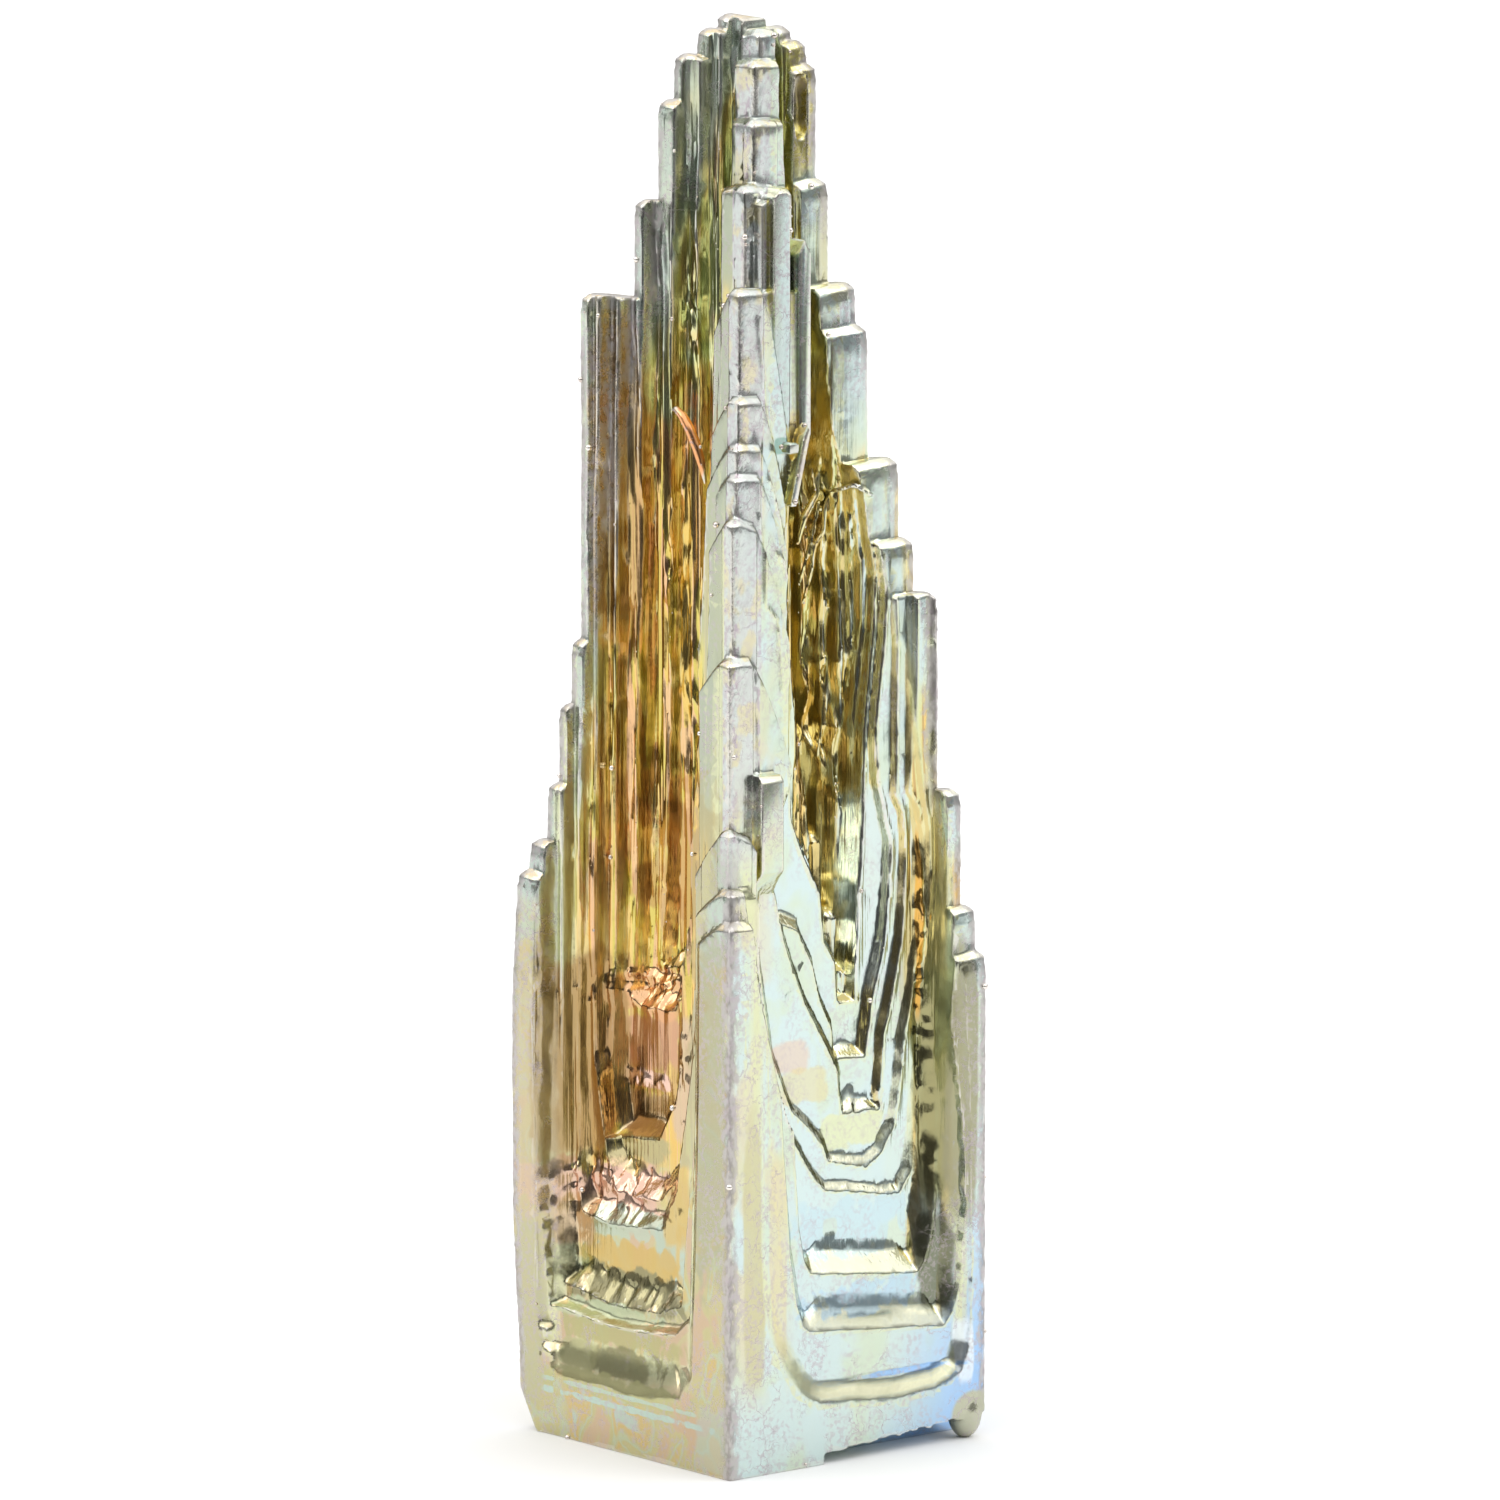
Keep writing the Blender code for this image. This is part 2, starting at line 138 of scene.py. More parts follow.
# steps of the corner posts, outermost first: half width in X and in Y, top, slope of the top
nearPost = [
    (5.73, 5.73, 19.5, 0.1), (5.45, 5.45, 20.6, 0.1), (5.2, 5, 22.6, 0.45), (4.6, 4.34, 28.4, 0.1),
    (4.22, 4.06, 33.2, 0.4), (3.85, 3.82, 34.7, 0.12), (3.66, 3.64, 35.7, 0.1), (3.48, 3.46, 37.3, 0.1),
    (3.14, 3.12, 41, 0.1), (2.18, 2.24, 44.4, 0.16), (1.48, 1.86, 46.6, 0.1), (1.16, 1.54, 48.6, 0.12),
    (0.74, 1.28, 49.6, 0.2)]
rightPost = [
    (5.73, 5.73, 17.3, 0.1), (5.47, 5.47, 18.9, 0.06), (5.1, 5.1, 23, 0.1), (4.53, 4.52, 29.9, 0.06),
    (3.93, 3.92, 31.8, 0.06), (3.55, 3.53, 34.6, 0.1), (2.79, 2.78, 39.2, 0.06), (2.5, 2.48, 40.7, 0.1),
    (1.82, 1.78, 44.3, 0.1), (1.53, 1.5, 48.3, 0.15), (1.31, 1.28, 49.1, 0.2), (0.92, 0.9, 49.6, 0.2)]
rearPost = [
    (5.73, 5.73, 18.4, 0.1), (5.44, 5.46, 19.8, 0.06), (5.12, 5.08, 22, 0.2), (4.67, 4.63, 26.1, 0.08),
    (4.14, 4.18, 30.8, 0.1), (3.76, 3.72, 33, 0.12), (3.42, 3.44, 36.6, 0.06), (2.86, 2.91, 39.8, 0.12),
    (2.37, 2.41, 42.2, 0.1), (1.91, 1.93, 45.2, 0.1), (1.44, 1.42, 48, 0.14), (0.96, 0.98, 49.4, 0.2)]
leftPost = [
    (5.73, 5.73, 19.9, 0.06), (5.43, 5.45, 21, 0.1), (5.01, 5.03, 23, 0.08), (4.72, 4.73, 25.8, 0.1),
    (4.4, 4.42, 28.1, 0.08), (4.16, 4.18, 40.2, 0.12), (2.86, 2.84, 43.5, 0.08), (2.27, 2.25, 47, 0.1),
    (1.88, 1.86, 48.6, 0.16), (1.31, 1.28, 49.5, 0.2), (0.83, 0.82, 50, 0.2)]

# terraces of a side, outermost first: distance of the floor from the axis, slope of the foot,
# lean of the sides (one for both, or left and right), then the outline: down the left edge, along the foot
# and up the right edge
frontTerraces = [
    (5.43, 0.8, (0.35, 0.15), [
        (-4.9, 8.1), (-4.5, 6.2), (-3.9, 4.6), (-3.3, 3.5), (-2.7, 2.75), (-2.2, 2.35), (-1.7, 2.15),
        (1.9, 1.8), (3.6, 1.95), (4.3, 2.2), (4.75, 2.6), (5.05, 3.5), (5.15, 5.8), (5.05, 11.5),
        (4.85, 15.7), (4.6, 19.1)]),
    (5.04, 1.2, (0.35, 0.6), [
        (-4.75, 20.3), (-4.1, 16.7), (-3.2, 13.1), (-2.8, 7.6), (-2.45, 5.7), (-2.2, 5), (-1.9, 4.75),
        (4.2, 4.15), (4.55, 4.6), (4.75, 5.4), (4.85, 6.7), (4.95, 8.4), (4.85, 11.4), (4.45, 14.8),
        (4.3, 17.5)]),
    (4.46, 1.15, (0.3, 0.75), [
        (-3.8, 19.2), (-3.2, 14.9), (-2.3, 12.2), (-2, 8.3), (-1.75, 7.1), (-1.45, 6.7), (3.3, 6.1),
        (3.6, 6.5), (3.85, 7.3), (4.1, 8.5), (4.3, 10.5), (4.35, 14.3), (4.45, 18), (4.5, 21.5)]),
    (4.3, 0.36, (0.15, 0.3), [
        (-1.8, 26), (-2.4, 23.4), (-3.8, 21.5), (-3.75, 17.3), (-3.3, 14.7), (-2.4, 12.2), (-1.6, 11),
        (-0.95, 10), (-0.4, 9.45), (2.9, 8.9), (3.5, 9.7), (3.75, 11.7), (3.95, 13.7), (4.2, 17), (4.35, 20),
        (4.35, 21.5), (4.1, 22.6), (3.7, 25.5)]),
    (4.14, 0.38, (0.15, 0.25), [
        (-1.6, 33), (-1.75, 24), (-2.35, 22.8), (-3.35, 21), (-3.25, 17.9), (-2.65, 14.4), (-1.8, 12.4),
        (-1.05, 11.7), (-0.4, 10.95), (-0.15, 10.4), (1.6, 9.95), (2.3, 10.4), (2.9, 11.3), (3.1, 12.6),
        (3.3, 14.4), (3.65, 15.8), (4, 17.7), (4.2, 19.6), (4.2, 21.4), (3.95, 22.3), (3.5, 23), (3.6, 26)]),
    (3.92, 0.5, 0.15, [
        (-0.5, 36.5), (-1.5, 33), (-1.65, 30), (-1.7, 24), (-2.2, 22.6), (-2.8, 21.5), (-1.85, 18.1),
        (-1, 16), (-0.25, 14.75), (0.45, 13.5), (0.6, 12), (2.35, 11.9), (2.4, 13), (2.5, 14.4), (2.9, 15.8),
        (3.3, 17.7), (3.43, 19.6), (3.45, 21), (3.35, 22.2), (3, 22.9), (3.1, 28), (3, 31.8)]),
    (3.6, 0.55, 0.12, [
        (0.45, 44), (0.35, 42.3), (-0.3, 40.5), (-0.4, 39.6), (-0.45, 36.5), (-0.8, 34.8), (-1.4, 33),
        (-1.55, 30), (-1.6, 23.5), (-2.1, 22.4), (-2.5, 21.4), (-2.2, 19), (-1.18, 18.6), (-0.48, 17.3),
        (-0.08, 15.9), (0.42, 14.9), (0.5, 13.9), (1.85, 13.8), (1.97, 14.6), (2.16, 15.8), (2.71, 17.7),
        (2.9, 19.6), (2.98, 21.2), (2.7, 22.2), (2.4, 23.4), (2.3, 25), (2.7, 28.5), (2.8, 30), (2.5, 32.3),
        (1.9, 34.5), (1.45, 36), (1.3, 38)]),
    (3.12, 0.4, 0.1, [
        (0.42, 43.5), (-0.25, 40.2), (-0.4, 36.5), (-1.3, 33), (-1.42, 27), (-1.2, 22.4), (-0.7, 21.2),
        (0.1, 19.7), (0.3, 18), (0.8, 17.2), (0.9, 15.8), (1.7, 15.7), (1.76, 17.7), (1.85, 19.6), (2, 22),
        (2.1, 25.2), (2.5, 28.7), (2.55, 30.5), (2.2, 33), (1.65, 35.5)]),
    (2.62, 0.7, 0.1, [
        (0.4, 43), (-0.2, 40), (-0.35, 36.5), (-1.2, 33), (-1.3, 27), (-0.9, 22.2), (-0.3, 21.2),
        (0.36, 19.7), (0.5, 18.2), (0.95, 17.6), (1, 16.8), (1.6, 16.7), (1.65, 17.7), (1.68, 19.6),
        (1.78, 22), (1.9, 25.5), (2.3, 29), (2.3, 31), (1.9, 34), (1.4, 36)]),
    (2.06, 2.2, 0.1, [
        (0.3, 42.3), (-0.1, 39.6), (-0.2, 36), (-0.7, 32), (-0.6, 28), (0, 22.5), (0.6, 19.8), (1.1, 18.6),
        (1.5, 18.6), (1.55, 26), (1.75, 30), (1.3, 36), (1, 40)]),
    (1.58, 2.4, 0.1, [
        (0.1, 46), (0.3, 42.3), (0, 39), (-0.2, 36), (0.25, 26), (0.8, 21.2), (1.25, 21.2), (1.35, 30),
        (1.2, 36), (0.75, 42)]),
    (1.05, 3, 0.1, [(0.1, 36), (0.35, 25), (0.85, 24.6), (0.8, 36), (0.6, 42)]),
    (0.62, 1, 0.05, [(0.05, 46), (0.15, 44), (0.45, 44)])]
leftTerraces = [
    (5.36, 1.6, 0.25, [
        (-4.8, 8.3), (-4.7, 2.8), (-3.8, 2.2), (0.8, 2.1), (3, 2.4), (3.7, 3.2), (3.95, 9.6), (4.1, 16.7)]),
    (5.02, 0.35, 0.2, [
        (-4.65, 8.2), (-4.4, 4.6), (-1.2, 4.3), (0.5, 4.4), (2.4, 4.6), (3.2, 5.3), (3.5, 14)]),
    (4.5, 1.1, 0.2, [(-4.3, 21.5), (-4.45, 8.2), (-4.2, 5.4), (-1.5, 5), (1, 5.1), (2.3, 5.5), (3, 12)]),
    (4.05, 0.7, (0.15, 0.6), [
        (-3.8, 26.4), (-4, 21.5), (-4.1, 12.5), (-4, 9), (-3.8, 8), (-2.2, 7.7), (0.6, 7.9), (1.4, 9.2),
        (2.6, 16)]),
    (3.55, 0.8, (0.15, 0.5), [
        (-3.45, 39.4), (-3.6, 28), (-3.7, 20), (-3.7, 13.5), (-3, 10), (-2.3, 8.8), (0, 8.8), (1.2, 10),
        (2.2, 19), (2.6, 30)]),
    (2.96, 0.8, 0.2, [
        (-3, 39), (-3.2, 22), (-3.4, 12.5), (-3.1, 10.6), (-0.7, 10.8), (0.3, 12.4), (0.9, 19.5), (1.6, 30),
        (2.1, 38)]),
    (2.36, 0.9, 0.15, [
        (-2.4, 38.6), (-2.7, 22), (-2.9, 15.6), (-2.4, 15.2), (-0.9, 15.3), (0, 16), (0.6, 19.5), (1.2, 30),
        (1.5, 38)]),
    (1.72, 1.4, 0.1, [(-1.45, 36), (-1.8, 22), (-2.1, 16.6), (-1, 16.6), (0, 18.2), (0.9, 30)]),
    (1.12, 2, 0.1, [(-0.75, 32), (-1.1, 18.6), (-0.1, 19.6), (0.6, 30)]),
    (0.66, 1, 0.05, [(-0.3, 44), (-0.2, 40), (0.4, 40)])]
rearTerraces = [
    (5.39, 0.4, 0.25, [
        (-4.6, 18), (-4.8, 7.4), (-4.3, 4.2), (-3.2, 2.9), (2.6, 2.4), (4, 3.4), (4.7, 6.8), (4.9, 12)]),
    (4.99, 0.8, 0.3, [(-4.2, 17), (-4.4, 8), (-3.6, 4.9), (2.8, 4.4), (3.7, 6.2), (4.5, 17)]),
    (4.5, 0.7, 0.4, [(-3.9, 24), (-3.4, 14), (-3.2, 7.6), (-2.3, 6.6), (2.3, 6.9), (3, 10), (4, 22)]),
    (4.02, 0.9, 0.2, [(-3.4, 26), (-2.7, 14), (-2.4, 9.4), (1.6, 9), (2.3, 12), (3.4, 25)]),
    (3.52, 0.8, 0.2, [(-2.9, 28), (-2.2, 16), (-1.8, 11.2), (0.9, 11.4), (1.8, 14), (2.9, 27)]),
    (2.98, 1, 0.2, [(-2.4, 30), (-1.7, 18), (-1.3, 13.4), (0.6, 13.2), (1.4, 17), (2.4, 29)]),
    (2.44, 1.2, 0.15, [(-1.9, 32), (-1.1, 18), (-0.6, 15.8), (0.4, 16), (1.1, 20), (1.9, 32)]),
    (1.84, 1.8, 0.1, [(-1.4, 33), (-0.8, 22), (-0.3, 18.4), (0.3, 18.4), (1.3, 32)]),
    (1.22, 2.4, 0.1, [(-0.8, 34), (-0.3, 22.4), (0.3, 22.4), (0.8, 34)]),
    (0.7, 1, 0.05, [(-0.35, 42.6), (0.3, 42.6)])]
rightTerraces = [
    (5.4, 0.4, 0.25, [(-4.7, 9), (-4.3, 4.6), (-3, 2.6), (3.1, 2.3), (4.3, 3.8), (4.8, 10), (4.5, 17)]),
    (4.98, 0.9, 0.3, [(-4.4, 17), (-4, 8.4), (-3.4, 4.3), (3, 4), (3.9, 5.6), (4.4, 12)]),
    (4.44, 0.9, 0.4, [(-3.9, 22), (-3.5, 14), (-2.9, 6.4), (2.4, 6), (3.3, 8.2), (3.9, 19)]),
    (4, 0.5, 0.2, [(-3.3, 26), (-2.8, 14), (-2.2, 8.6), (1.9, 8.4), (2.7, 12), (3.4, 24)]),
    (3.46, 0.9, 0.2, [(-2.8, 28), (-2.3, 16), (-1.6, 10.6), (1.4, 10.4), (2.2, 15), (2.9, 27)]),
    (2.94, 0.9, 0.2, [(-2.3, 30), (-1.7, 17), (-1, 12.8), (1, 12.9), (1.7, 17), (2.4, 29)]),
    (2.32, 1.2, 0.15, [(-1.7, 30), (-1.1, 18), (-0.5, 15.2), (0.7, 15.4), (1.2, 20), (1.9, 31)]),
    (1.72, 1.8, 0.1, [(-1.1, 32), (-0.5, 20), (0, 17.8), (0.6, 18), (1.3, 32)]),
    (1.14, 2.4, 0.1, [(-0.7, 34), (-0.2, 22), (0.4, 22), (0.7, 34)]),
    (0.66, 1, 0.05, [(-0.3, 43.4), (0.35, 43.4)])]
# hollows and crumpled patches on the front (11) and left (44): place across and up, half width,
# half height, height, roughness
details = {
    11: [
        (-0.17, 8.05, 0.26, 0.28, -0.05, 0), (0.97, 12.9, 0.45, 0.42, -0.08, 0),
        (1, 3.35, 3, 0.07, -0.035, 0), (1.6, 3, 2.6, 0.07, -0.035, 0), (1.4, 9.2, 1.6, 0.35, 0, 0.025),
        (1.1, 10.4, 1.2, 0.35, 0, 0.025), (1.7, 12.3, 0.8, 0.5, 0, 0.07),
        (4.15, 12.7, 0.34, 4.2, -0.3, 0.03), (-1.6, 13.8, 1.3, 0.8, 0, 0.02),
        (3.98, 18.5, 0.15, 3.4, 0.1, 0.1)],
    44: [
        (-1.8, 15.8, 1.9, 0.75, 0, 0.15), (-2.8, 8.75, 2.6, 1, 0.05, 0.1), (-0.9, 5.5, 2.8, 0.6, 0, 0.06),
        (1.3, 9.15, 0.7, 1.8, 0, 0.05), (-4.5, 3.6, 0.22, 0.25, 0.25, 0), (-4.35, 2.95, 0.25, 0.25, 0.2, 0),
        (0.8, 28, 0.6, 0.7, 0.3, 0.15), (-1.9, 12.67, 1.4, 0.3, 0, 0.06), (0.8, 13.3, 0.6, 2, 0, 0.06)]}
# raised curved lines on the front: places across and up, half width, height
ribbons = [
    ([(-2.29, 39.9), (-2.14, 38.5), (-1.75, 36), (-1.32, 34.1)], 0.08, 0.06),
    ([(-2.15, 34.4), (-1.77, 33.4), (-1.38, 32.4), (-1.23, 31.6)], 0.08, 0.06),
    ([(-2.84, 33.2), (-2.65, 32.4), (-2.7, 30.1), (-2.16, 29.5), (-1.9, 27)], 0.08, 0.06),
    ([(-1.99, 31.8), (-1.6, 31.5), (-1.4, 30.8)], 0.07, 0.05),
    ([(-3.3, 27.6), (-3.2, 24.6), (-2.9, 22.4)], 0.07, 0.05),
    ([(-4, 18.5), (-3.7, 12), (-3.1, 6.5)], 0.06, 0.04), ([(0.5, 41), (0.58, 36), (0.4, 32.5)], 0.09, 0.18),
    ([(0.95, 40), (0.98, 36), (1.35, 32.5)], 0.07, 0.15)]
# thin plates on the upper front: left and right side, distance from the axis, foot, top, slope of the top,
# lean, slope of the foot
blades = [
    (-2.5, 0.02, 2.86, 33.4, 40.9, 0.3, 0, 2.3), (-1.75, -0.5, 2.66, 38, 44, 0.4, 0, 0),
    (-1.42, -0.7, 2.95, 34, 44.3, 0.8, 0, 0), (-0.36, 0.2, 3, 35.6, 42.5, 2, 0, 0),
    (-1.08, -0.8, 3.42, 33.3, 36.1, 3, 0.25, 0)]
# hollows cut into the front: place across and up, half width, half height, distance of the floor from the
# axis
pits = [
    (0.9, 46.9, 0.5, 2.2, 0.95), (0.35, 43.2, 0.32, 0.8, 1.3)]
# curved threads: points and radii, first the one in the left channel
threads = [
    [(-3.2, 0.45, 36.45, 0.06), (-3.25, 0.15, 36.5, 0.13), (-3.25, -0.2, 36.3, 0.17),
     (-3.2, -0.5, 35.9, 0.19), (-3.1, -0.75, 35.3, 0.18), (-3, -0.9, 34.7, 0.15), (-2.9, -1, 34, 0.06)],
    [(1.19, -2.15, 34.1, 0.1), (1.14, -2.15, 33.4, 0.14), (0.55, -2.15, 32.6, 0.15),
     (0.31, -2.1, 31.7, 0.06)],
    [(2, -2.4, 34, 0.07), (1.61, -2.3, 33.5, 0.09), (1.36, -2.3, 32.9, 0.1), (1.32, -2.3, 32.1, 0.1),
     (0.93, -2.25, 31.6, 0.1), (0.83, -2.2, 30.7, 0.09), (0.54, -2.1, 29.6, 0.05)],
    [(2.4, -3.62, 33.4, 0.08), (1.75, -3.4, 33.8, 0.09), (1.5, -2.9, 33.6, 0.09), (1.35, -2.4, 33.5, 0.05)],
    [(2.44, -3, 33.7, 0.06), (2.05, -2.95, 33.1, 0.08), (1.96, -2.9, 32.4, 0.08), (2.06, -2.9, 31.4, 0.05)],
    [(2.71, -3.08, 31.1, 0.06), (2.32, -3.06, 30.2, 0.08), (2.37, -3.06, 29, 0.08),
     (2.12, -2.8, 28.2, 0.05)],
    [(2.42, -3.08, 26.4, 0.06), (2.07, -2.75, 24.9, 0.09), (1.76, -2.5, 24, 0.1), (1.95, -2.6, 22.4, 0.05)],
    [(2.46, -2.75, 29.1, 0.06), (1.84, -2.4, 28.2, 0.09), (1.58, -2.2, 27.7, 0.1), (1.48, -2.2, 26.3, 0.1),
     (1.17, -2.15, 24.2, 0.05)],
    [(1.84, -2.4, 28.2, 0.08), (2.38, -2.75, 27.7, 0.09), (2.43, -3.05, 26.4, 0.06)],
    [(0.89, -2.15, 34.3, 0.06), (1.2, -2.15, 33.1, 0.09), (0.89, -2.15, 31.8, 0.09),
     (0.38, -2.05, 30.2, 0.05)]]
bead = {"centre": (5.27, -5.30, 0.86), "radius": 0.60}
column = {"across": (-3.55, -2.55), "reach": 4.85, "foot": 20.2, "top": 24.3}
chip = {"left": -1.36, "height": 0.36, "heightAtCorner": 0.85, "depth": 1.5}


def noise(a, b, seed):
    # smooth noise from -1 to 1 with about one bump per unit of a and b
    table = np.random.default_rng(seed).uniform(-1, 1, (64, 64)).astype(np.float32)
    a0, b0 = np.floor(a), np.floor(b)
    fa, fb = a - a0, b - b0
    fa, fb = fa * fa * (3 - 2 * fa), fb * fb * (3 - 2 * fb)
    i, j = a0.astype(int) % 64, b0.astype(int) % 64
    iNext, jNext = (i + 1) % 64, (j + 1) % 64
    low = table[i, j] * (1 - fa) + table[iNext, j] * fa
    high = table[i, jNext] * (1 - fa) + table[iNext, jNext] * fa
    return low * (1 - fb) + high * fb


def smooth(x, low, high):
    t = np.clip((x - low) / (high - low), 0, 1)
    return t * t * (3 - 2 * t)


def stairs(x, edge=0.12):
    # x turned into flat steps one unit high, with narrow risers
    whole = np.floor(x)
    return whole + smooth(x - whole, 0.5 - edge, 0.5 + edge)


def fold(x):
    # straight-sided ridges, one per unit
    return 2 * np.abs(x - np.floor(x + 0.5))


def segmentDistance(across, up, start, end):
    (ax, ay), (bx, by) = start, end
    ex, ey = bx - ax, by - ay
    t = np.clip(((across - ax) * ex + (up - ay) * ey) / (ex * ex + ey * ey), 0, 1)
    return np.hypot(across - ax - t * ex, up - ay - t * ey)


def insideDistance(outline, across, up):
    # distance into a terrace's outline, negative outside it; the outline is open at the top
    points = [(outline[0][0], 60.0)] + list(outline) + [(outline[-1][0], 60.0)]
    nearest = np.full(across.shape, 99.0)
    inside = np.zeros(across.shape, bool)
    for start, end in zip(points, points[1:] + points[:1]):
        nearest = np.minimum(nearest, segmentDistance(across, up, start, end))
        (ax, ay), (bx, by) = start, end
        if ay != by:
            inside ^= ((ay > up) != (by > up)) & (across < ax + (up - ay) * (bx - ax) / (by - ay))
    return np.where(inside, nearest, -nearest)


def lineField(lines, across, up):
    # height of the raised lines at each place, and how much the place lies on one of them
    height, share = np.zeros(across.shape), np.zeros(across.shape)
    for places, wide, tall in lines:
        near = np.full(across.shape, 9.0)
        for start, end in zip(places, places[1:]):
            near = np.minimum(near, segmentDistance(across, up, start, end))
        ridge = np.exp(-(near / wide) ** 2)
        height, share = height + tall * ridge, np.maximum(share, ridge)
    return height, share


def overlap(*parts):
    # inside only where every part is
    whole = parts[0]
    for part in parts[1:]:
        whole = np.maximum(whole, part)
    return whole


def softPatch(across, up, u, v, wide, tall):
    # 1 over a rounded rectangle, falling to 0 round it
    return np.exp(-((across - u) / wide) ** 4 - ((up - v) / tall) ** 4)


def envelope(post, up):
    # how far the post stands out at each height, as a smooth taper through its steps
    tops = [step[2] for step in post]
    halves = [(step[0] + step[1]) / 2 for step in post]
    return np.interp(up, [0.0] + tops, [halves[0]] + halves)


def sideSurface(terraces, posts, across, up, seed, s):
    # distance of the surface of one side from the axis, for each place across and up
    onFront, onLeft = seed < 2000, seed > 4000
    surface = np.full(across.shape, 9.0)
    lip = np.zeros(across.shape)
    soft = np.zeros(across.shape)
    outer = s["halfBase"]
    for number, (depth, rise, lean, outline) in enumerate(terraces):
        aside = (s["outlineWave"] * noise(up / 4.0, across / 3.0 + 7 * number, seed + number)
                 + s["outlineGrain"] * noise(up / 0.9, across / 0.9, seed + 30 + number))
        along = (s["outlineWave"] * noise(across / 2.6, up / 3.0 + 5 * number, seed + 50 + number)
                 + s["outlineGrain"] * noise(across / 0.4, up / 0.5, seed + 70 + number))
        d = insideDistance(outline, across + aside, up + along)
        if isinstance(lean, tuple):
            foot = min(outline, key=lambda point: point[1])[0]
            lean = np.where(across < foot, lean[0], lean[1])
        footShare = np.clip(np.gradient(d, s["stepUp"], axis=1), 0, 1) ** 2
        fade = np.clip(1 - (up - min(p[1] for p in outline)) / 14, 0, 1)
        width = footShare * rise + (1 - footShare) * (0.09 + lean * fade)
        if number == 0:
            # wide soft bevel all round
            width = footShare * rise + (1 - footShare) * (0.2 + 2.4 * lean)
            fall = np.clip(d / width, 0, 1)
            fall = 1 - (1 - fall) ** 1.7 if onLeft else 0.5 * smooth(fall, 0, 1) + 0.5 * fall
        else:
            # straight ramp, then a gentler shoulder before the floor
            shoulder = np.maximum((0.4 if number < 3 else 0.3) * footShare, 0.01)
            rest = 0.17 * shoulder * rise / (outer - depth) * footShare
            fall = ((1 - rest) * np.clip(d / (width * (1 - shoulder)), 0, 1)
                    + rest * np.clip((d / width - 1 + shoulder) / shoulder, 0, 1))
        soft = np.maximum(soft, (1.0 if number == 0 else 0.5) * np.sin(np.pi * np.clip(d / width, 0, 1)))
        level = outer - (outer - depth) * fall
        ramp = footShare * smooth(fall, 0.02, 0.2) * (1 - smooth(fall, 0.85, 1.0)) * (number > 2)
        level = level + 0.035 * ramp * noise(across / 0.55, up / 0.4, seed + 120 + number)
        # two shallow steps just inside the wall, which come and go
        past = d - width
        present = ((number > (4 if onLeft else 6)) * (1 - smooth(footShare, 0.1, 0.5))
                   * smooth(noise(up / 6.1, across / 1.6, seed + 90 + number), -0.3, 0.0))
        steps = 0.05 * (1 - smooth(past, 0.10, 0.17)) + 0.04 * (1 - smooth(past, 0.34, 0.42))
        level = level + present * steps
        level = np.where(d < 0, outer - d * 9, level)
        ridge = np.exp(-((d + 0.07) / 0.055) ** 2)
        lip = np.maximum(lip, s["lip"] * ridge)
        soft = np.maximum(soft, 0.8 * ridge * onFront * (number < 8))
        surface = np.minimum(surface, level)
        outer = depth
    shell = np.where(across < 0, envelope(posts[0], up), envelope(posts[1], up))
    recess = np.clip(shell - surface, 0, 6)
    plane = shell - 0.75 if onLeft else np.minimum(shell - 0.8, 2.9 + 0.45 * smooth(up, 20, 25))
    deep = smooth(plane - surface, 0.0, 0.6) * smooth(up, 12, 18)
    # ribs that run up the channels, and plates between them that end in points
    bent = (across + 0.3 * noise(across / 0.9, up / 14, seed + 101)
            + 0.05 * noise(up / 4, across / 2, seed + 109))
    share = smooth(noise(across / 0.7, up / 7, seed + 110), -0.5, 0.2)
    ribs = s["ribDepth"] * (share * (fold(bent / s["ribWidth"]) - 0.5)
                            + stairs(2.6 * noise(bent / 0.45, up / 9, seed + 102)) / 2.6)
    fineShare = smooth(noise(across / 0.9, up / 5, seed + 111), -0.2, 0.2)
    ribs = ribs + 0.07 * fineShare * (fold(bent / 0.19) - 0.5)
    ribs = ribs + 0.03 * noise(bent / 0.12, up / 5, seed + 103)
    # torn, fibrous metal in parts of the channels
    torn = smooth(noise(up / 6 + across / 1.5, across / 1.3, seed + 106), 0.0, 0.5) * deep
    if onLeft:
        torn = torn * smooth(up, 17, 22) * 0.4
    curl = 0.4 * noise(up / 1.4, across / 1.2, seed + 112)
    fibres = 1 - 2 * np.abs(noise((across + curl) / 0.36 + up / 3.5, up / 2.2, seed + 107))
    fibres = fibres + 0.35 * noise(across / 0.16 - up / 3, up / 0.9, seed + 108)
    # thin plates on the flats
    plates = 0.018 * stairs(1.7 * noise(across / 1.4, up / 2.6, seed + 104)) * (1 - deep) * (recess > 0.5)
    surface = surface + lip + deep * ribs + torn * s["crumple"] * fibres + plates
    if onFront:
        height, share = lineField(ribbons, across, up)
        surface = surface + height * (surface < 6)
        soft = np.maximum(soft, 0.8 * share)
        for *patch, level in pits:
            floor = level + 0.12 * noise(across / 0.2, up / 1.2, seed + 140)
            surface = np.minimum(surface, floor + 9.0 * (1 - softPatch(across, up, *patch)))
    crumpled = (1 - 2 * np.abs(noise(across / 0.42, up / 0.5, seed + 130))
                + 0.6 * noise(across / 0.2, up / 0.25, seed + 131))
    for *patch, height, rough in details.get(seed // 100, []):
        # hollows (height below 0), lumps and patches of crumpled metal
        surface = surface + softPatch(across, up, *patch) * (height + rough * crumpled)
    return surface, soft


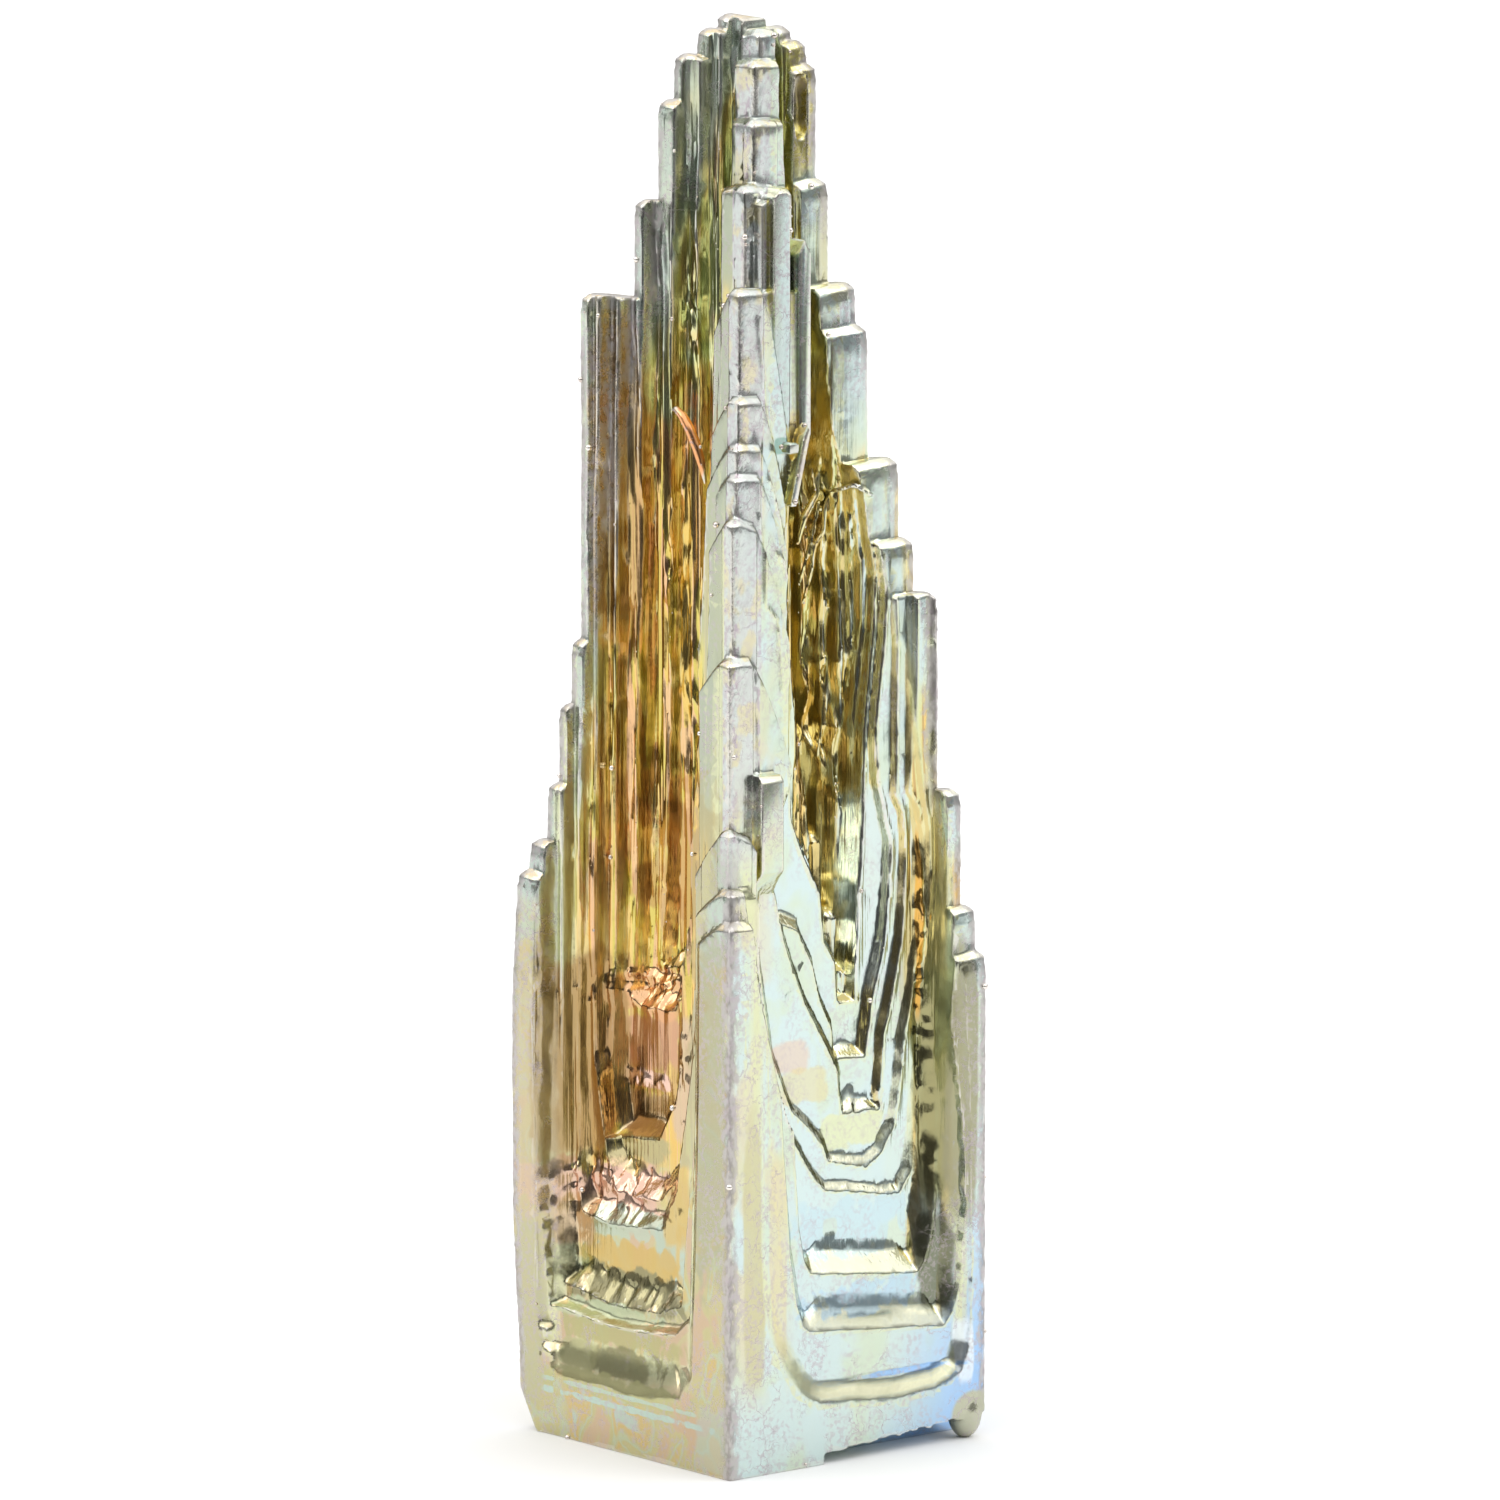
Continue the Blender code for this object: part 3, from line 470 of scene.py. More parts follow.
def surfaceFromField(field, origin, steps):
    # closed mesh round the cells where the field is negative: one point for each sheet of the
    # surface that passes through a cell, and one face for each grid line that it crosses
    solid = field < 0
    corners = [(i, j, k) for i in (0, 1) for j in (0, 1) for k in (0, 1)]
    lines = [(a, b) for a in range(8) for b in range(a + 1, 8)
             if sum(p != q for p, q in zip(corners[a], corners[b])) == 1]
    lineNumber = {pair: n for n, pair in enumerate(lines)}

    def cornerAt(axis, along, p, q):
        spot = [0, 0, 0]
        spot[axis], spot[(axis + 1) % 3], spot[(axis + 2) % 3] = along, p, q
        return corners.index(tuple(spot))

    faces = [[cornerAt(axis, side, p, q) for p, q in ((0, 0), (1, 0), (1, 1), (0, 1))]
             for axis in range(3) for side in (0, 1)]
    sheetOf = np.zeros((256, 12), np.int64)
    sheets = np.zeros(256, np.int64)
    for code in range(1, 255):
        inside = [bool(code >> n & 1) for n in range(8)]
        group = list(range(12))

        def root(n):
            while group[n] != n:
                n = group[n]
            return n

        for ring in faces:
            cut = [lineNumber[tuple(sorted((ring[n], ring[(n + 1) % 4])))] for n in range(4)]
            crossed = [inside[ring[n]] != inside[ring[(n + 1) % 4]] for n in range(4)]
            if sum(crossed) == 2:
                first, second = [cut[n] for n in range(4) if crossed[n]]
                group[root(first)] = root(second)
            elif sum(crossed) == 4:
                for n in range(4):
                    if inside[ring[n]]:
                        group[root(cut[n])] = root(cut[n - 1])
        names = []
        for n, (a, b) in enumerate(lines):
            if inside[a] != inside[b]:
                if root(n) not in names:
                    names.append(root(n))
                sheetOf[code, n] = names.index(root(n))
        sheets[code] = len(names)

    code = np.zeros(tuple(n - 1 for n in field.shape), np.int64)
    for n, offset in enumerate(corners):
        part = solid[tuple(slice(start, start + size) for start, size in zip(offset, code.shape))]
        code |= part.astype(np.int64) << n
    cells = np.argwhere((code > 0) & (code < 255))
    cellCode = code[cells[:, 0], cells[:, 1], cells[:, 2]]
    count = sheets[cellCode]
    first = np.concatenate(([0], np.cumsum(count)))[:-1]
    firstPoint = np.full(code.shape, -1, np.int64)
    firstPoint[cells[:, 0], cells[:, 1], cells[:, 2]] = first
    total = int(count.sum())
    place = np.zeros((total, 3))
    weight = np.zeros(total)
    for n, (a, b) in enumerate(lines):
        hit = ((cellCode >> a) ^ (cellCode >> b)) & 1 == 1
        at = cells[hit]
        fa = field[tuple((at + corners[a]).T)]
        fb = field[tuple((at + corners[b]).T)]
        t = (fa / (fa - fb))[:, None]
        point = at + np.array(corners[a]) * (1 - t) + np.array(corners[b]) * t
        owner = first[hit] + sheetOf[cellCode[hit], n]
        for axis in range(3):
            place[:, axis] += np.bincount(owner, point[:, axis], total)
        weight += np.bincount(owner, minlength=total)
    place /= weight[:, None]
    quads = []
    for axis in range(3):
        second, third = (axis + 1) % 3, (axis + 2) % 3
        low = [slice(1, -1)] * 3
        high = [slice(1, -1)] * 3
        low[axis], high[axis] = slice(0, -1), slice(1, None)
        change = solid[tuple(low)] != solid[tuple(high)]
        outwards = solid[tuple(low)]
        spots = np.argwhere(change)
        outwards = outwards[change]
        spots[:, second] += 1
        spots[:, third] += 1
        ring = []
        for p, q in ((1, 1), (0, 1), (0, 0), (1, 0)):     # the line as seen from each of its 4 cells
            cell = spots.copy()
            cell[:, second] -= p
            cell[:, third] -= q
            n = lineNumber[(cornerAt(axis, 0, p, q), cornerAt(axis, 1, p, q))]
            where = tuple(cell.T)
            ring.append(firstPoint[where] + sheetOf[code[where], n])
        ring = np.stack(ring, 1)
        quads.append(np.where(outwards[:, None], ring, ring[:, ::-1]))
    return origin + place * steps, np.concatenate(quads)


def meshFromArrays(name, points, quads):
    mesh = bpy.data.meshes.new(name)
    mesh.vertices.add(len(points))
    mesh.vertices.foreach_set("co", points.astype(np.float32).ravel())
    mesh.loops.add(quads.size)
    mesh.loops.foreach_set("vertex_index", quads.astype(np.int32).ravel())
    mesh.polygons.add(len(quads))
    mesh.polygons.foreach_set("loop_start", np.arange(0, quads.size, 4, dtype=np.int32))
    mesh.update(calc_edges=True)
    mesh.validate()
    return mesh


def boxBlur(array, reach):
    # mean over a cube of cells, one axis after another
    out = array.astype(np.float32)
    for axis, n in enumerate(reach):
        pad = [(0, 0)] * 3
        pad[axis] = (n + 1, n)
        total = np.cumsum(np.pad(out, pad, mode="edge"), axis=axis, dtype=np.float64)
        size = out.shape[axis]
        upper = np.take(total, np.arange(2 * n + 1, 2 * n + 1 + size), axis=axis)
        lower = np.take(total, np.arange(0, size), axis=axis)
        out = ((upper - lower) / (2 * n + 1)).astype(np.float32)
    return out


def growCrystal(s):
    # the whole tower as one field: negative in metal, near to the distance from the surface
    xs = np.arange(-6.2, 6.2 + s["stepAcross"], s["stepAcross"]).astype(np.float32)
    zs = np.arange(-0.4, 50.5, s["stepUp"]).astype(np.float32)
    origin = np.array([xs[0], xs[0], zs[0]])
    steps = np.array([s["stepAcross"], s["stepAcross"], s["stepUp"]])
    diagonal = 0.7071
    field = np.full((len(xs), len(xs), len(zs)), 9.0, np.float32)
    posts = [(-1, -1, nearPost), (1, -1, rightPost), (1, 1, rearPost), (-1, 1, leftPost)]
    onPlates = lineField(ribbons, *np.meshgrid(xs, zs, indexing="ij"))[0]
    for corner, (sideX, sideY, post) in enumerate(posts):
        # each post needs only its own quarter of the grid
        rangeX = np.nonzero(sideX * xs > -s["coreOverlap"] - 0.3)[0]
        rangeY = np.nonzero(sideY * xs > -s["coreOverlap"] - 0.3)[0]
        quarter = (slice(rangeX[0], rangeX[-1] + 1), slice(rangeY[0], rangeY[-1] + 1))
        px, py = xs[quarter[0]], xs[quarter[1]]
        x, y, z = px[:, None, None], py[None, :, None], zs[None, None, :]
        inner = np.maximum(-sideX * x, -sideY * y) - s["coreOverlap"]
        isNear = post is nearPost
        for number, (halfX, halfY, top, slope) in enumerate(post):
            seed = 300 + corner * 40 + number
            # the last half millimetre under a top is a little narrower
            neck = (0.0 if isNear else 0.03) * smooth(zs, top - 0.55, top - 0.45)[None, :] + 0.02
            # thin raised line along the corner, broken here and there
            broken = smooth(noise(zs / 1.7, zs * 0, seed + 2), -0.45, -0.2)[None, :]
            halves = []
            for half, otherHalf, otherSide, spots, shift in (
                    (halfX, halfY, sideY, py, 0.62), (halfY, halfX, sideX, px, 1.12)):
                out = otherSide * spots[:, None]
                line = np.exp(-((out - otherHalf + 0.34) / 0.08) ** 2)
                size = (half - neck + s["wobble"] * noise(spots[:, None] / 1.3, zs[None, :] / 2.2, seed)
                        + 0.4 * s["wobble"] * noise(spots[:, None] / 0.3, zs[None, :] / 0.3, seed + 1)
                        + (0.012 if isNear else 0.03) * broken * line)
                # the left and right posts swell a little
                swell = 0.1 * (corner % 2) + 0.18 * (corner == 3) * np.exp(-((zs - 11.5) / 7) ** 4)[None, :]
                size = size + swell * smooth(out, otherHalf - 1.6, otherHalf - 0.5)
                if isNear and half == halfY:
                    size = size + onPlates[rangeX]
                if isNear and number > 1 and halfX > 1.3:
                    # the corner ridge stands a little proud of the plates beside it
                    ridge = otherHalf - shift
                    size = size - 0.08 * (1 - smooth(out, ridge - 0.04, ridge + 0.04))
                halves.append(size.astype(np.float32))
            outX = sideX * x - halves[0][None, :, :]
            outY = sideY * y - halves[1][:, None, :]
            away = np.maximum(halfX - sideX * x, halfY - sideY * y) - 0.4      # from the post's own corner
            above = (z - top + slope * np.maximum(away, 0)).astype(np.float32)
            if halfX > 3.0 and isNear:
                # the plates beside the ridge end in slanting lines
                above = above + 7.0 * np.clip((x + halfX - 1.1) / (halfX - 1.65), 0, 1) ** 1.4
                above = above + 3.5 * np.clip((y + halfY - 0.62) / (halfY - 1.2), 0, 1) ** 1.3
            raised = above + s["bevel"]
            rough = 0.05 * np.abs(noise(zs / 0.16, zs * 0, seed + 3)).astype(np.float32)
            pitted = (-0.02 if isNear else s["cornerBevel"]) + rough
            block = overlap(outX, outY, above * 0.8, (outX + raised) * diagonal, (outY + raised) * diagonal,
                            (outX + outY + pitted) * diagonal, inner)
            field[quarter] = np.minimum(field[quarter], block)
    x, y, z = xs[:, None, None], xs[None, :, None], zs[None, None, :]
    across, up = np.meshgrid(xs, zs, indexing="ij")
    everywhere = slice(None)
    sides = [("front", frontTerraces, (nearPost, rightPost), 11, -y),
             ("right", rightTerraces, (rightPost, rearPost), 22, x),
             ("rear", rearTerraces, (rearPost, leftPost), 33, y),
             ("left", leftTerraces, (leftPost, nearPost), 44, -x)]
    bevels = {}
    for name, terraces, pair, seed, out in sides:
        surface, bevels[name] = sideSurface(terraces, pair, across, up, seed * 100, s)
        slopeA, slopeU = np.gradient(np.clip(surface, 0, 7), s["stepAcross"], s["stepUp"])
        scale = 1 / np.sqrt(1 + slopeA ** 2 + slopeU ** 2)
        if name in ("rear", "left"):
            surface, scale = surface[::-1], scale[::-1]
        place = (everywhere, None) if name in ("front", "rear") else (None, everywhere)
        np.maximum(field, (out - surface[place]) * scale[place], out=field)
    # thin plates with pointed tops on the upper front
    for left, right, out, foot, top, slope, lean, footSlope in blades:
        moved = x - lean * (z - foot)
        block = overlap(left - moved, moved - right, -y - out, y + out - 1.0,
                        (foot - z + footSlope * np.maximum(x + 1.0, 0)) * 0.5,
                        (z - top + slope * np.abs(moved - (left + right) / 2)) * 0.6,
                        (z - top - y - out + 0.15) * 0.7)
        np.minimum(field, block, out=field)
    # the short column on the front wall
    left, right = column["across"]
    above = z - column["top"]
    block = overlap(left - x, x - right, -y - column["reach"], y + 3.9, above,
                    (above - y - column["reach"] + 0.2) * diagonal,
                    (column["foot"] - z + (-y - 4.3) * 1.4) * 0.55)
    np.minimum(field, block, out=field)
    # curved threads, and a small cube on the front wall
    for start, end in [pair for line in threads for pair in zip(line, line[1:])]:
        ends = np.array([start[:3], end[:3]])
        low = ((ends.min(0) - 0.5 - origin) / steps).astype(int)
        high = ((ends.max(0) + 0.5 - origin) / steps).astype(int)
        box = tuple(slice(a, b) for a, b in zip(low, high))
        spots = [x[box[0]] - start[0], y[:, box[1]] - start[1], z[:, :, box[2]] - start[2]]
        way = [end[n] - start[n] for n in range(3)]
        t = np.clip(sum(a * b for a, b in zip(spots, way)) / sum(b * b for b in way), 0, 1)
        away = np.sqrt(sum((a - t * b) ** 2 for a, b in zip(spots, way)))
        field[box] = np.minimum(field[box], away - start[3] - t * (end[3] - start[3]))
    cube = overlap(np.abs(x + 1.28) - 0.2, np.abs(y + 3.6) - 0.25, np.abs(z - 35.4) - 0.2)
    np.minimum(field, cube, out=field)
    # the chip under the front wall, then the bead that set there
    rightwards = np.clip((x - chip["left"]) / (s["halfBase"] - chip["left"]), 0, 1)
    chipTop = chip["height"] + (chip["heightAtCorner"] - chip["height"]) * rightwards
    wave = 0.05 * np.sin(x * 7) * np.sin(x * 2.3)
    gap = overlap(chip["left"] - x + 0.1 * np.sin(y * 9), z - chipTop - wave,
                  y + s["halfBase"] - chip["depth"])
    np.maximum(field, -gap, out=field)
    beadX, beadY, beadZ = bead["centre"]
    drop = np.sqrt((x - beadX) ** 2 + (y - beadY) ** 2 + ((z - beadZ) * 0.68) ** 2) - bead["radius"]
    np.minimum(field, drop, out=field)
    # rounded lower left corner, and the flat base
    cornerLeft = (-x + y - 2 * s["halfBase"] + 0.8 - z * 0.6) * 0.7
    np.maximum(field, np.where(z < 1.6, cornerLeft, -9.0), out=field)
    np.maximum(field, -z, out=field)
    return field, bevels, origin, steps


field, bevels, origin, steps = growCrystal(crystal)
print("field grown", field.shape)
points, quads = surfaceFromField(field, origin, steps)
print("surface found", len(points), "points", len(quads), "quads")


def applyModifiers(thing):
    view = bpy.context.evaluated_depsgraph_get()
    mesh = bpy.data.meshes.new_from_object(thing.evaluated_get(view))
    thing.modifiers.clear()
    old = thing.data
    thing.data = mesh
    bpy.data.meshes.remove(old)


def makeMesh(s, name):
    thing = bpy.data.objects.new(name, meshFromArrays(name, points * mm, quads))
    bpy.context.scene.collection.objects.link(thing)
    thin = thing.modifiers.new("decimate", "DECIMATE")
    thin.ratio = min(1.0, s["triangles"] / (2 * len(quads)))
    applyModifiers(thing)
    return thing


tower = makeMesh(crystal, "hopper_crystal")
print("mesh made", len(tower.data.polygons))


def sampleGrid(grid, where):
    # nearest-cell value of a grid at points in millimetres
    index = np.rint((where - origin) / steps).astype(int)
    index = np.clip(index, 0, np.array(grid.shape) - 1)
    return grid[index[:, 0], index[:, 1], index[:, 2]]


def paintAttributes(mesh):
    def paint(name, kind, key, values):
        mesh.attributes.new(name, kind, "FACE").data.foreach_set(key, values.astype(np.float32))

    fine = boxBlur(field < 0, ((3, 3, 2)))
    centres, normals = np.empty((2, len(mesh.polygons) * 3), np.float32)
    mesh.polygons.foreach_get("center", centres)
    mesh.polygons.foreach_get("normal", normals)
    centres = centres.reshape(-1, 3) / mm
    paint("edge", "FLOAT", "value", 1 - sampleGrid(fine, centres))
    # how much each place lies on a terrace's bevel, read from the side that it faces
    x, y, z = centres.T
    sides = [("front", x, -y), ("right", y, x), ("rear", -x, y), ("left", -y, -x)]
    outest = np.max([out for name, across, out in sides], axis=0)
    bevel = np.zeros(len(x))
    row = np.clip(np.rint((z - origin[2]) / steps[2]).astype(int), 0, field.shape[2] - 1)
    for name, across, out in sides:
        place = np.clip(np.rint((across - origin[0]) / steps[0]).astype(int), 0, field.shape[0] - 1)
        bevel = np.where(out == outest, bevels[name][place, row], bevel)
    paint("bevel", "FLOAT", "value", bevel)
    paint("facing", "FLOAT_VECTOR", "vector", normals)


paintAttributes(tower.data)
tower.data.shade_smooth()
tower.data.set_sharp_from_angle(angle=math.radians(34))
print("attributes painted")

# ---- finish: bismuth metal under a thin oxide film, whose thickness gives most of its colour, with a painted highlight on what faces up and a painted dark reflection low on the front ----
filmAndPaintedLight = {
    # colour of the film against how deep the place lies, on the front and right, then in the left channel
    "cool": [
        (0, "#cbdcda"), (0.15, "#cddcd2"), (0.3, "#d8dcb8"), (0.44, "#e4dc98"), (0.58, "#eccd84"),
        (0.72, "#ecbe68"), (0.87, "#e4c47c"), (1, "#dcd088")],
    "warm": [
        (0, "#bccabf"), (0.14, "#c6ceb4"), (0.28, "#e2d69a"), (0.42, "#ecd08a"), (0.56, "#eec07e"),
        (0.7, "#ecbe6c"), (0.85, "#e2b468"), (1, "#e4c470")],
    # flat facets side by side in the channels
    "facets": [
        (0, "#e0c070"), (0.38, "#e2b89a"), (0.44, "#cec66a"), (0.49, "#e4c886"), (0.54, "#b89470"),
        (0.59, "#d4d080"), (0.65, "#e2ba8a")],
    "facetsFront": [
        (0, "#d6c88c"), (0.38, "#cfe0d6"), (0.44, "#ccc99a"), (0.49, "#eacc86"), (0.54, "#bc9e6e"),
        (0.59, "#d2d8a2"), (0.65, "#e8c084")],
    "leftPlate": "#a8aa8e",   # beside the ridge on the left
    "bead": "#bdbea8",
    "green": "#cfdcae",       # in the channels near the top
    "wall": "#d2c084",        # channel walls on the front
    "softBevel": "#d8dbb0",
    "cream": "#d6cfb0",       # patches on the outer flats near the front ridge
    "tint": "#cdd8b4",
    # patches on the left face near the foot
    "patches": [
        (0, "#c9af94"), (0.4, "#c9b294"), (0.44, "#c4bc90"), (0.5, "#c2bb8c"), (0.53, "#bcc4a6"),
        (0.56, "#c4bc90"), (0.6, "#ccb67e"), (0.64, "#ccb884"), (0.67, "#b9c6b6"), (1, "#bac9c0")],
    # painted highlight: near-white on what faces up, then the same on the left face
    "bevel": "#eae6c8",
    "paintedHighlightLeft": "#e0c8a4",
    "convex": "#dedbd2",
    "strongBlue": "#a0c4ee",
    "panel": "#ccd2d0",       # on the ridge of the front corner, above the base
    "panelSpeckle": "#b9acb8",
    "thread": "#eca468",
    "threadCentre": (-3.15, -0.3, 35.3),
    # patches of their own colour, and one painted dark reflection: place across and up, half width, half
    # height, colour, strength
    "frontPatches": [
        (-1.85, 14.2, 1, 0.6, "#dcbfa8", 0.6), (-1.2, 13.1, 1.2, 0.6, "#d8cc98", 0.6),
        (1.05, 11.3, 1.5, 0.6, "#d8dcb0", 0.8), (-1.2, 35.4, 0.3, 0.3, "#8fb0a4", 0.9),
        (-4.6, 8, 0.5, 5, "#c6c19a", 0.8), (-0.17, 8.05, 0.32, 0.32, "#dcd9a4", 0.8),
        (4.9, 3.2, 0.35, 1.2, "#e4eef4", 0.8), (0.5, 5.6, 2.5, 0.6, "#b2cfe2", 0.7),
        (0.3, 8, 2.7, 1, "#bcd6de", 0.6), (2.3, 19.6, 0.75, 3.6, "#cfdcd8", 0.8),
        (0.9, 47, 0.55, 2.4, "#d4c878", 0.9), (-1.56, 42.5, 0.14, 2.6, "#c4bc74", 0.9),
        (-0.55, 41.5, 0.12, 2.4, "#c8c07c", 0.8), (-0.5, 35, 0.3, 1.6, "#d8c890", 0.8),
        # painted dark reflection: the dark olive patch at 4.05 across, 6.4 up stands where a glossy fillet
        # would mirror the dark open side of the tent
        (4.05, 6.4, 0.7, 1.7, "#74765e", 0.9), (4.15, 12.7, 0.5, 4.4, "#8e8e68", 0.8),
        (2.56, 2.79, 2, 0.1, "#9cc4f0", 0.9), (4.95, 12.9, 0.45, 5, "#9a9678", 0.85),
        (1.9, 42, 0.5, 2, "#cfc6a0", 0.6), (3.98, 18.2, 0.12, 3.4, "#e0a848", 0.8),
        (3.5, 17.6, 0.3, 2.6, "#b8b088", 0.6), (-3.3, 7.5, 0.4, 3.5, "#dccb9c", 0.5)],
    "leftPatches": [
        (-2, 13.9, 1.7, 1.1, "#c99c80", 0.85), (-2.3, 11.5, 1.6, 0.7, "#bb9f7c", 0.85),
        (-1.92, 12.67, 1.4, 0.33, "#e8c4b4", 0.9), (-1.76, 10.3, 1.6, 0.5, "#b2aa80", 0.85),
        (-2.83, 8.75, 2.8, 1.1, "#dab4a2", 0.85), (-2.04, 7.75, 2.5, 0.5, "#b9c4b0", 0.85),
        (0.78, 7.36, 0.6, 0.86, "#b4c2b2", 0.85), (1.3, 9.15, 0.8, 1.8, "#ceb476", 0.85),
        (-0.85, 6.5, 2.6, 0.7, "#c9ac6a", 0.85), (-0.9, 5.5, 2.9, 0.7, "#908c6a", 0.9),
        (-1.58, 4.63, 3, 0.36, "#bcc6a2", 0.8), (-0.86, 4, 3.9, 0.4, "#b4af7e", 0.85),
        (-0.3, 3.1, 1.9, 0.55, "#85825e", 0.8), (-2.9, 3.1, 1, 0.5, "#b4b284", 0.8),
        (-0.8, 2.2, 4.2, 0.4, "#bcba88", 0.85), (-0.2, 1.62, 4.3, 0.12, "#b9cfc4", 0.9),
        (-0.2, 2.02, 4.1, 0.08, "#b9cfc4", 0.7), (-2.2, 15.7, 1.6, 0.8, "#dcaa80", 0.8),
        (-4, 13.4, 1, 3.8, "#a9885a", 0.85), (-3.9, 7.6, 0.7, 0.9, "#d6b894", 0.8),
        (-0.5, 20.5, 2.2, 2.6, "#b98c60", 0.6), (0.76, 13.1, 0.9, 2.3, "#d0b89c", 0.85),
        (4.64, 13.1, 0.9, 6.5, "#abab90", 0.8), (-5.2, 9.6, 0.7, 7.5, "#c6b998", 0.6),
        (4.9, 1.2, 1, 1.2, "#b6c2bc", 0.5), (-5.2, 4.2, 0.7, 3.4, "#bab998", 0.7),
        (2.6, 17.6, 1.7, 6, "#b0a47c", 0.6), (1.9, 13.4, 0.9, 3.2, "#b4b294", 0.7),
        (-3.1, 34, 0.7, 6, "#c09a68", 0.7)],
    "rim": "#bfbbb8",
    "rimDark": "#9a9492",
    "wrinkle": "#beb2b8",
    "envelope": [(0, 5.73), (19.5, 5.6), (23, 5), (30, 4.4), (35, 3.8), (40, 2.9), (45, 2), (50, 0.9)],
}


def oxideMetalWithPaintedLight(s):
    metal = bpy.data.materials.new("oxide_film_and_painted_light_on_bismuth")
    metal.use_nodes = True
    tree = metal.node_tree
    shader = tree.nodes["Principled BSDF"]
    shader.inputs["Metallic"].default_value = 1.0
    coords = addNode(tree, "ShaderNodeTexCoord", {})
    inMm = addNode(tree, "ShaderNodeMapping", {"Scale": (1000, 1000, 1000),
                                               "Vector": coords.outputs["Object"]}).outputs[0]

    def band(value, low, high, first=0.0, last=1.0):
        # first below low, last above high, smooth between
        node = addNode(tree, "ShaderNodeMapRange", {
            "interpolation_type": "SMOOTHSTEP", "From Min": low, "From Max": high, "To Min": first,
            "To Max": last, "Value": value.socket})
        return Level(node.outputs[0])

    def blend(share, first, second):
        values = {"data_type": "RGBA", "Factor": share.socket}
        for n, value in ((6, first), (7, second)):
            values[n] = value.socket if isinstance(value, Level) else hexColor(value)
        return Level(addNode(tree, "ShaderNodeMix", values).outputs[2])

    def cloud(scale, stretch=(1, 1, 1), detail=2.0, distortion=0.0):
        # noise with about scale bumps in a millimetre
        moved = addNode(tree, "ShaderNodeMapping", {"Scale": stretch, "Vector": inMm})
        node = addNode(tree, "ShaderNodeTexNoise", {
            "Scale": scale, "Detail": detail, "Distortion": distortion, "Vector": moved.outputs[0]})
        return Level(node.outputs["Fac"])

    def ramp(value, stopList, kind="LINEAR"):
        node = addNode(tree, "ShaderNodeValToRGB", {"Fac": value.socket})
        node.color_ramp.interpolation = kind
        stops = node.color_ramp.elements
        while len(stops) < len(stopList):
            stops.new(0.5)
        for stop, (position, code) in zip(stops, stopList):
            stop.position = position
            stop.color = hexColor(code) if isinstance(code, str) else (code, code, code, 1)
        return Level(node.outputs[0])

    def away(centre, sizes, squared=False):
        # how far a place lies from the centre, counted in sizes
        local = addNode(tree, "ShaderNodeMapping", {
            "Scale": [1 / size for size in sizes], "Location": [-c / size for c, size in zip(centre, sizes)],
            "Vector": inMm}).outputs[0]
        if squared:
            product = addNode(tree, "ShaderNodeVectorMath", {"operation": "MULTIPLY", 0: local, 1: local})
            local = product.outputs[0]
        length = addNode(tree, "ShaderNodeVectorMath", {"operation": "LENGTH", 0: local})
        return Level(length.outputs["Value"])

    def painted(name, output="Fac"):
        return addNode(tree, "ShaderNodeAttribute", {"attribute_name": name}).outputs[output]

    x, y, z = [Level(out) for out in addNode(tree, "ShaderNodeSeparateXYZ", {0: inMm}).outputs]
    toward = addNode(tree, "ShaderNodeSeparateXYZ", {0: painted("facing", "Vector")}).outputs
    towardX, towardZ = Level(toward[0]), Level(toward[2])
    farX, farY = abs(x), abs(y)
    reach = farX.math("MAXIMUM", farY)
    # how far the place lies under the tower's outline, in millimetres
    shell = ramp(z * 0.02, [(height / 50, half / 6) for height, half in s["envelope"]]) * 6.0
    recess = shell - reach
    onLeft = band(y - x, -0.25, 0.25)
    onFront = 1.0 - onLeft
    # the flats stay pale down to a plane, under which the film thickens
    pale = (shell - 0.8).math("MINIMUM", band(z, 20.0, 25.0) * 0.45 + 2.9)
    depth = ((onFront * pale + onLeft * (shell - 0.45) - reach) * (1 / 1.9)).math("MAXIMUM", -0.05)
    # an olive strip on the front beside the right corner
    depth = depth + band(x, 3.3, 3.9) * onFront * band(z, 7.5, 11.0) * band(recess, 0.1, 0.5) * 0.75
    depth = depth + (cloud(0.7, (1, 1, 0.35)) * 0.55 - 0.2)
    streaks = cloud(3.2, (1, 1, 0.06), 3.0) * 1.1 - 0.55
    depth = depth + streaks * band(depth, 0.15, 0.4)
    lowLeft = band(cloud(0.5) * 5.0 + z + (band(recess, 0.4, 0.9) * 9.0 - 18.5), 1.0, 4.0, 1.0, 0.0)
    share = cloud(1.35, (1, 1, 0.045), 0.5)
    inChannel = band(depth, 0.12, 0.3) * 0.6
    warm = blend(lowLeft, ramp(depth, s["warm"]), ramp(cloud(0.5, (1, 1, 0.8), 3.0, 0.6), s["patches"]))
    warm = blend(inChannel * (1.0 - lowLeft), warm, ramp(share, s["facets"], "CONSTANT"))
    color = blend(onLeft, ramp(depth, s["cool"]), warm)
    color = blend(inChannel * onFront * 1.2, color, ramp(share, s["facetsFront"], "CONSTANT"))
    beside = band(y, -0.9, -0.2, 1.0, 0.0) * band(z, 19.0, 22.0) * onLeft
    color = blend(beside * band(depth, 0.15, 0.35, 0.65, 0.0), color, s["leftPlate"])
    creamy = band(cloud(0.8, (1, 1, 0.5), 3.0), 0.44, 0.58) * band(x - z * 0.04, -4.6, -2.2, 0.9, 0.0)
    color = blend(creamy * onFront * band(z, 1.5, 5.0), color, s["cream"])
    tinted = band(cloud(0.42, (1, 1, 0.8), 4.0, 0.4), 0.48, 0.60) * band(depth, 0.1, 0.3, 0.5, 0.0)
    color = blend(tinted * onFront, color, s["tint"])
    # stronger blue low on the right, green in the channels near the top
    color = blend(band(x - z * 0.55, -1.0, 5.2) * onFront, color, s["strongBlue"])
    green = band(depth, 0.2, 0.5) * band(cloud(0.6) * 14.0 + z, 43.0, 47.0)
    color = blend(green * 0.85, color, s["green"])
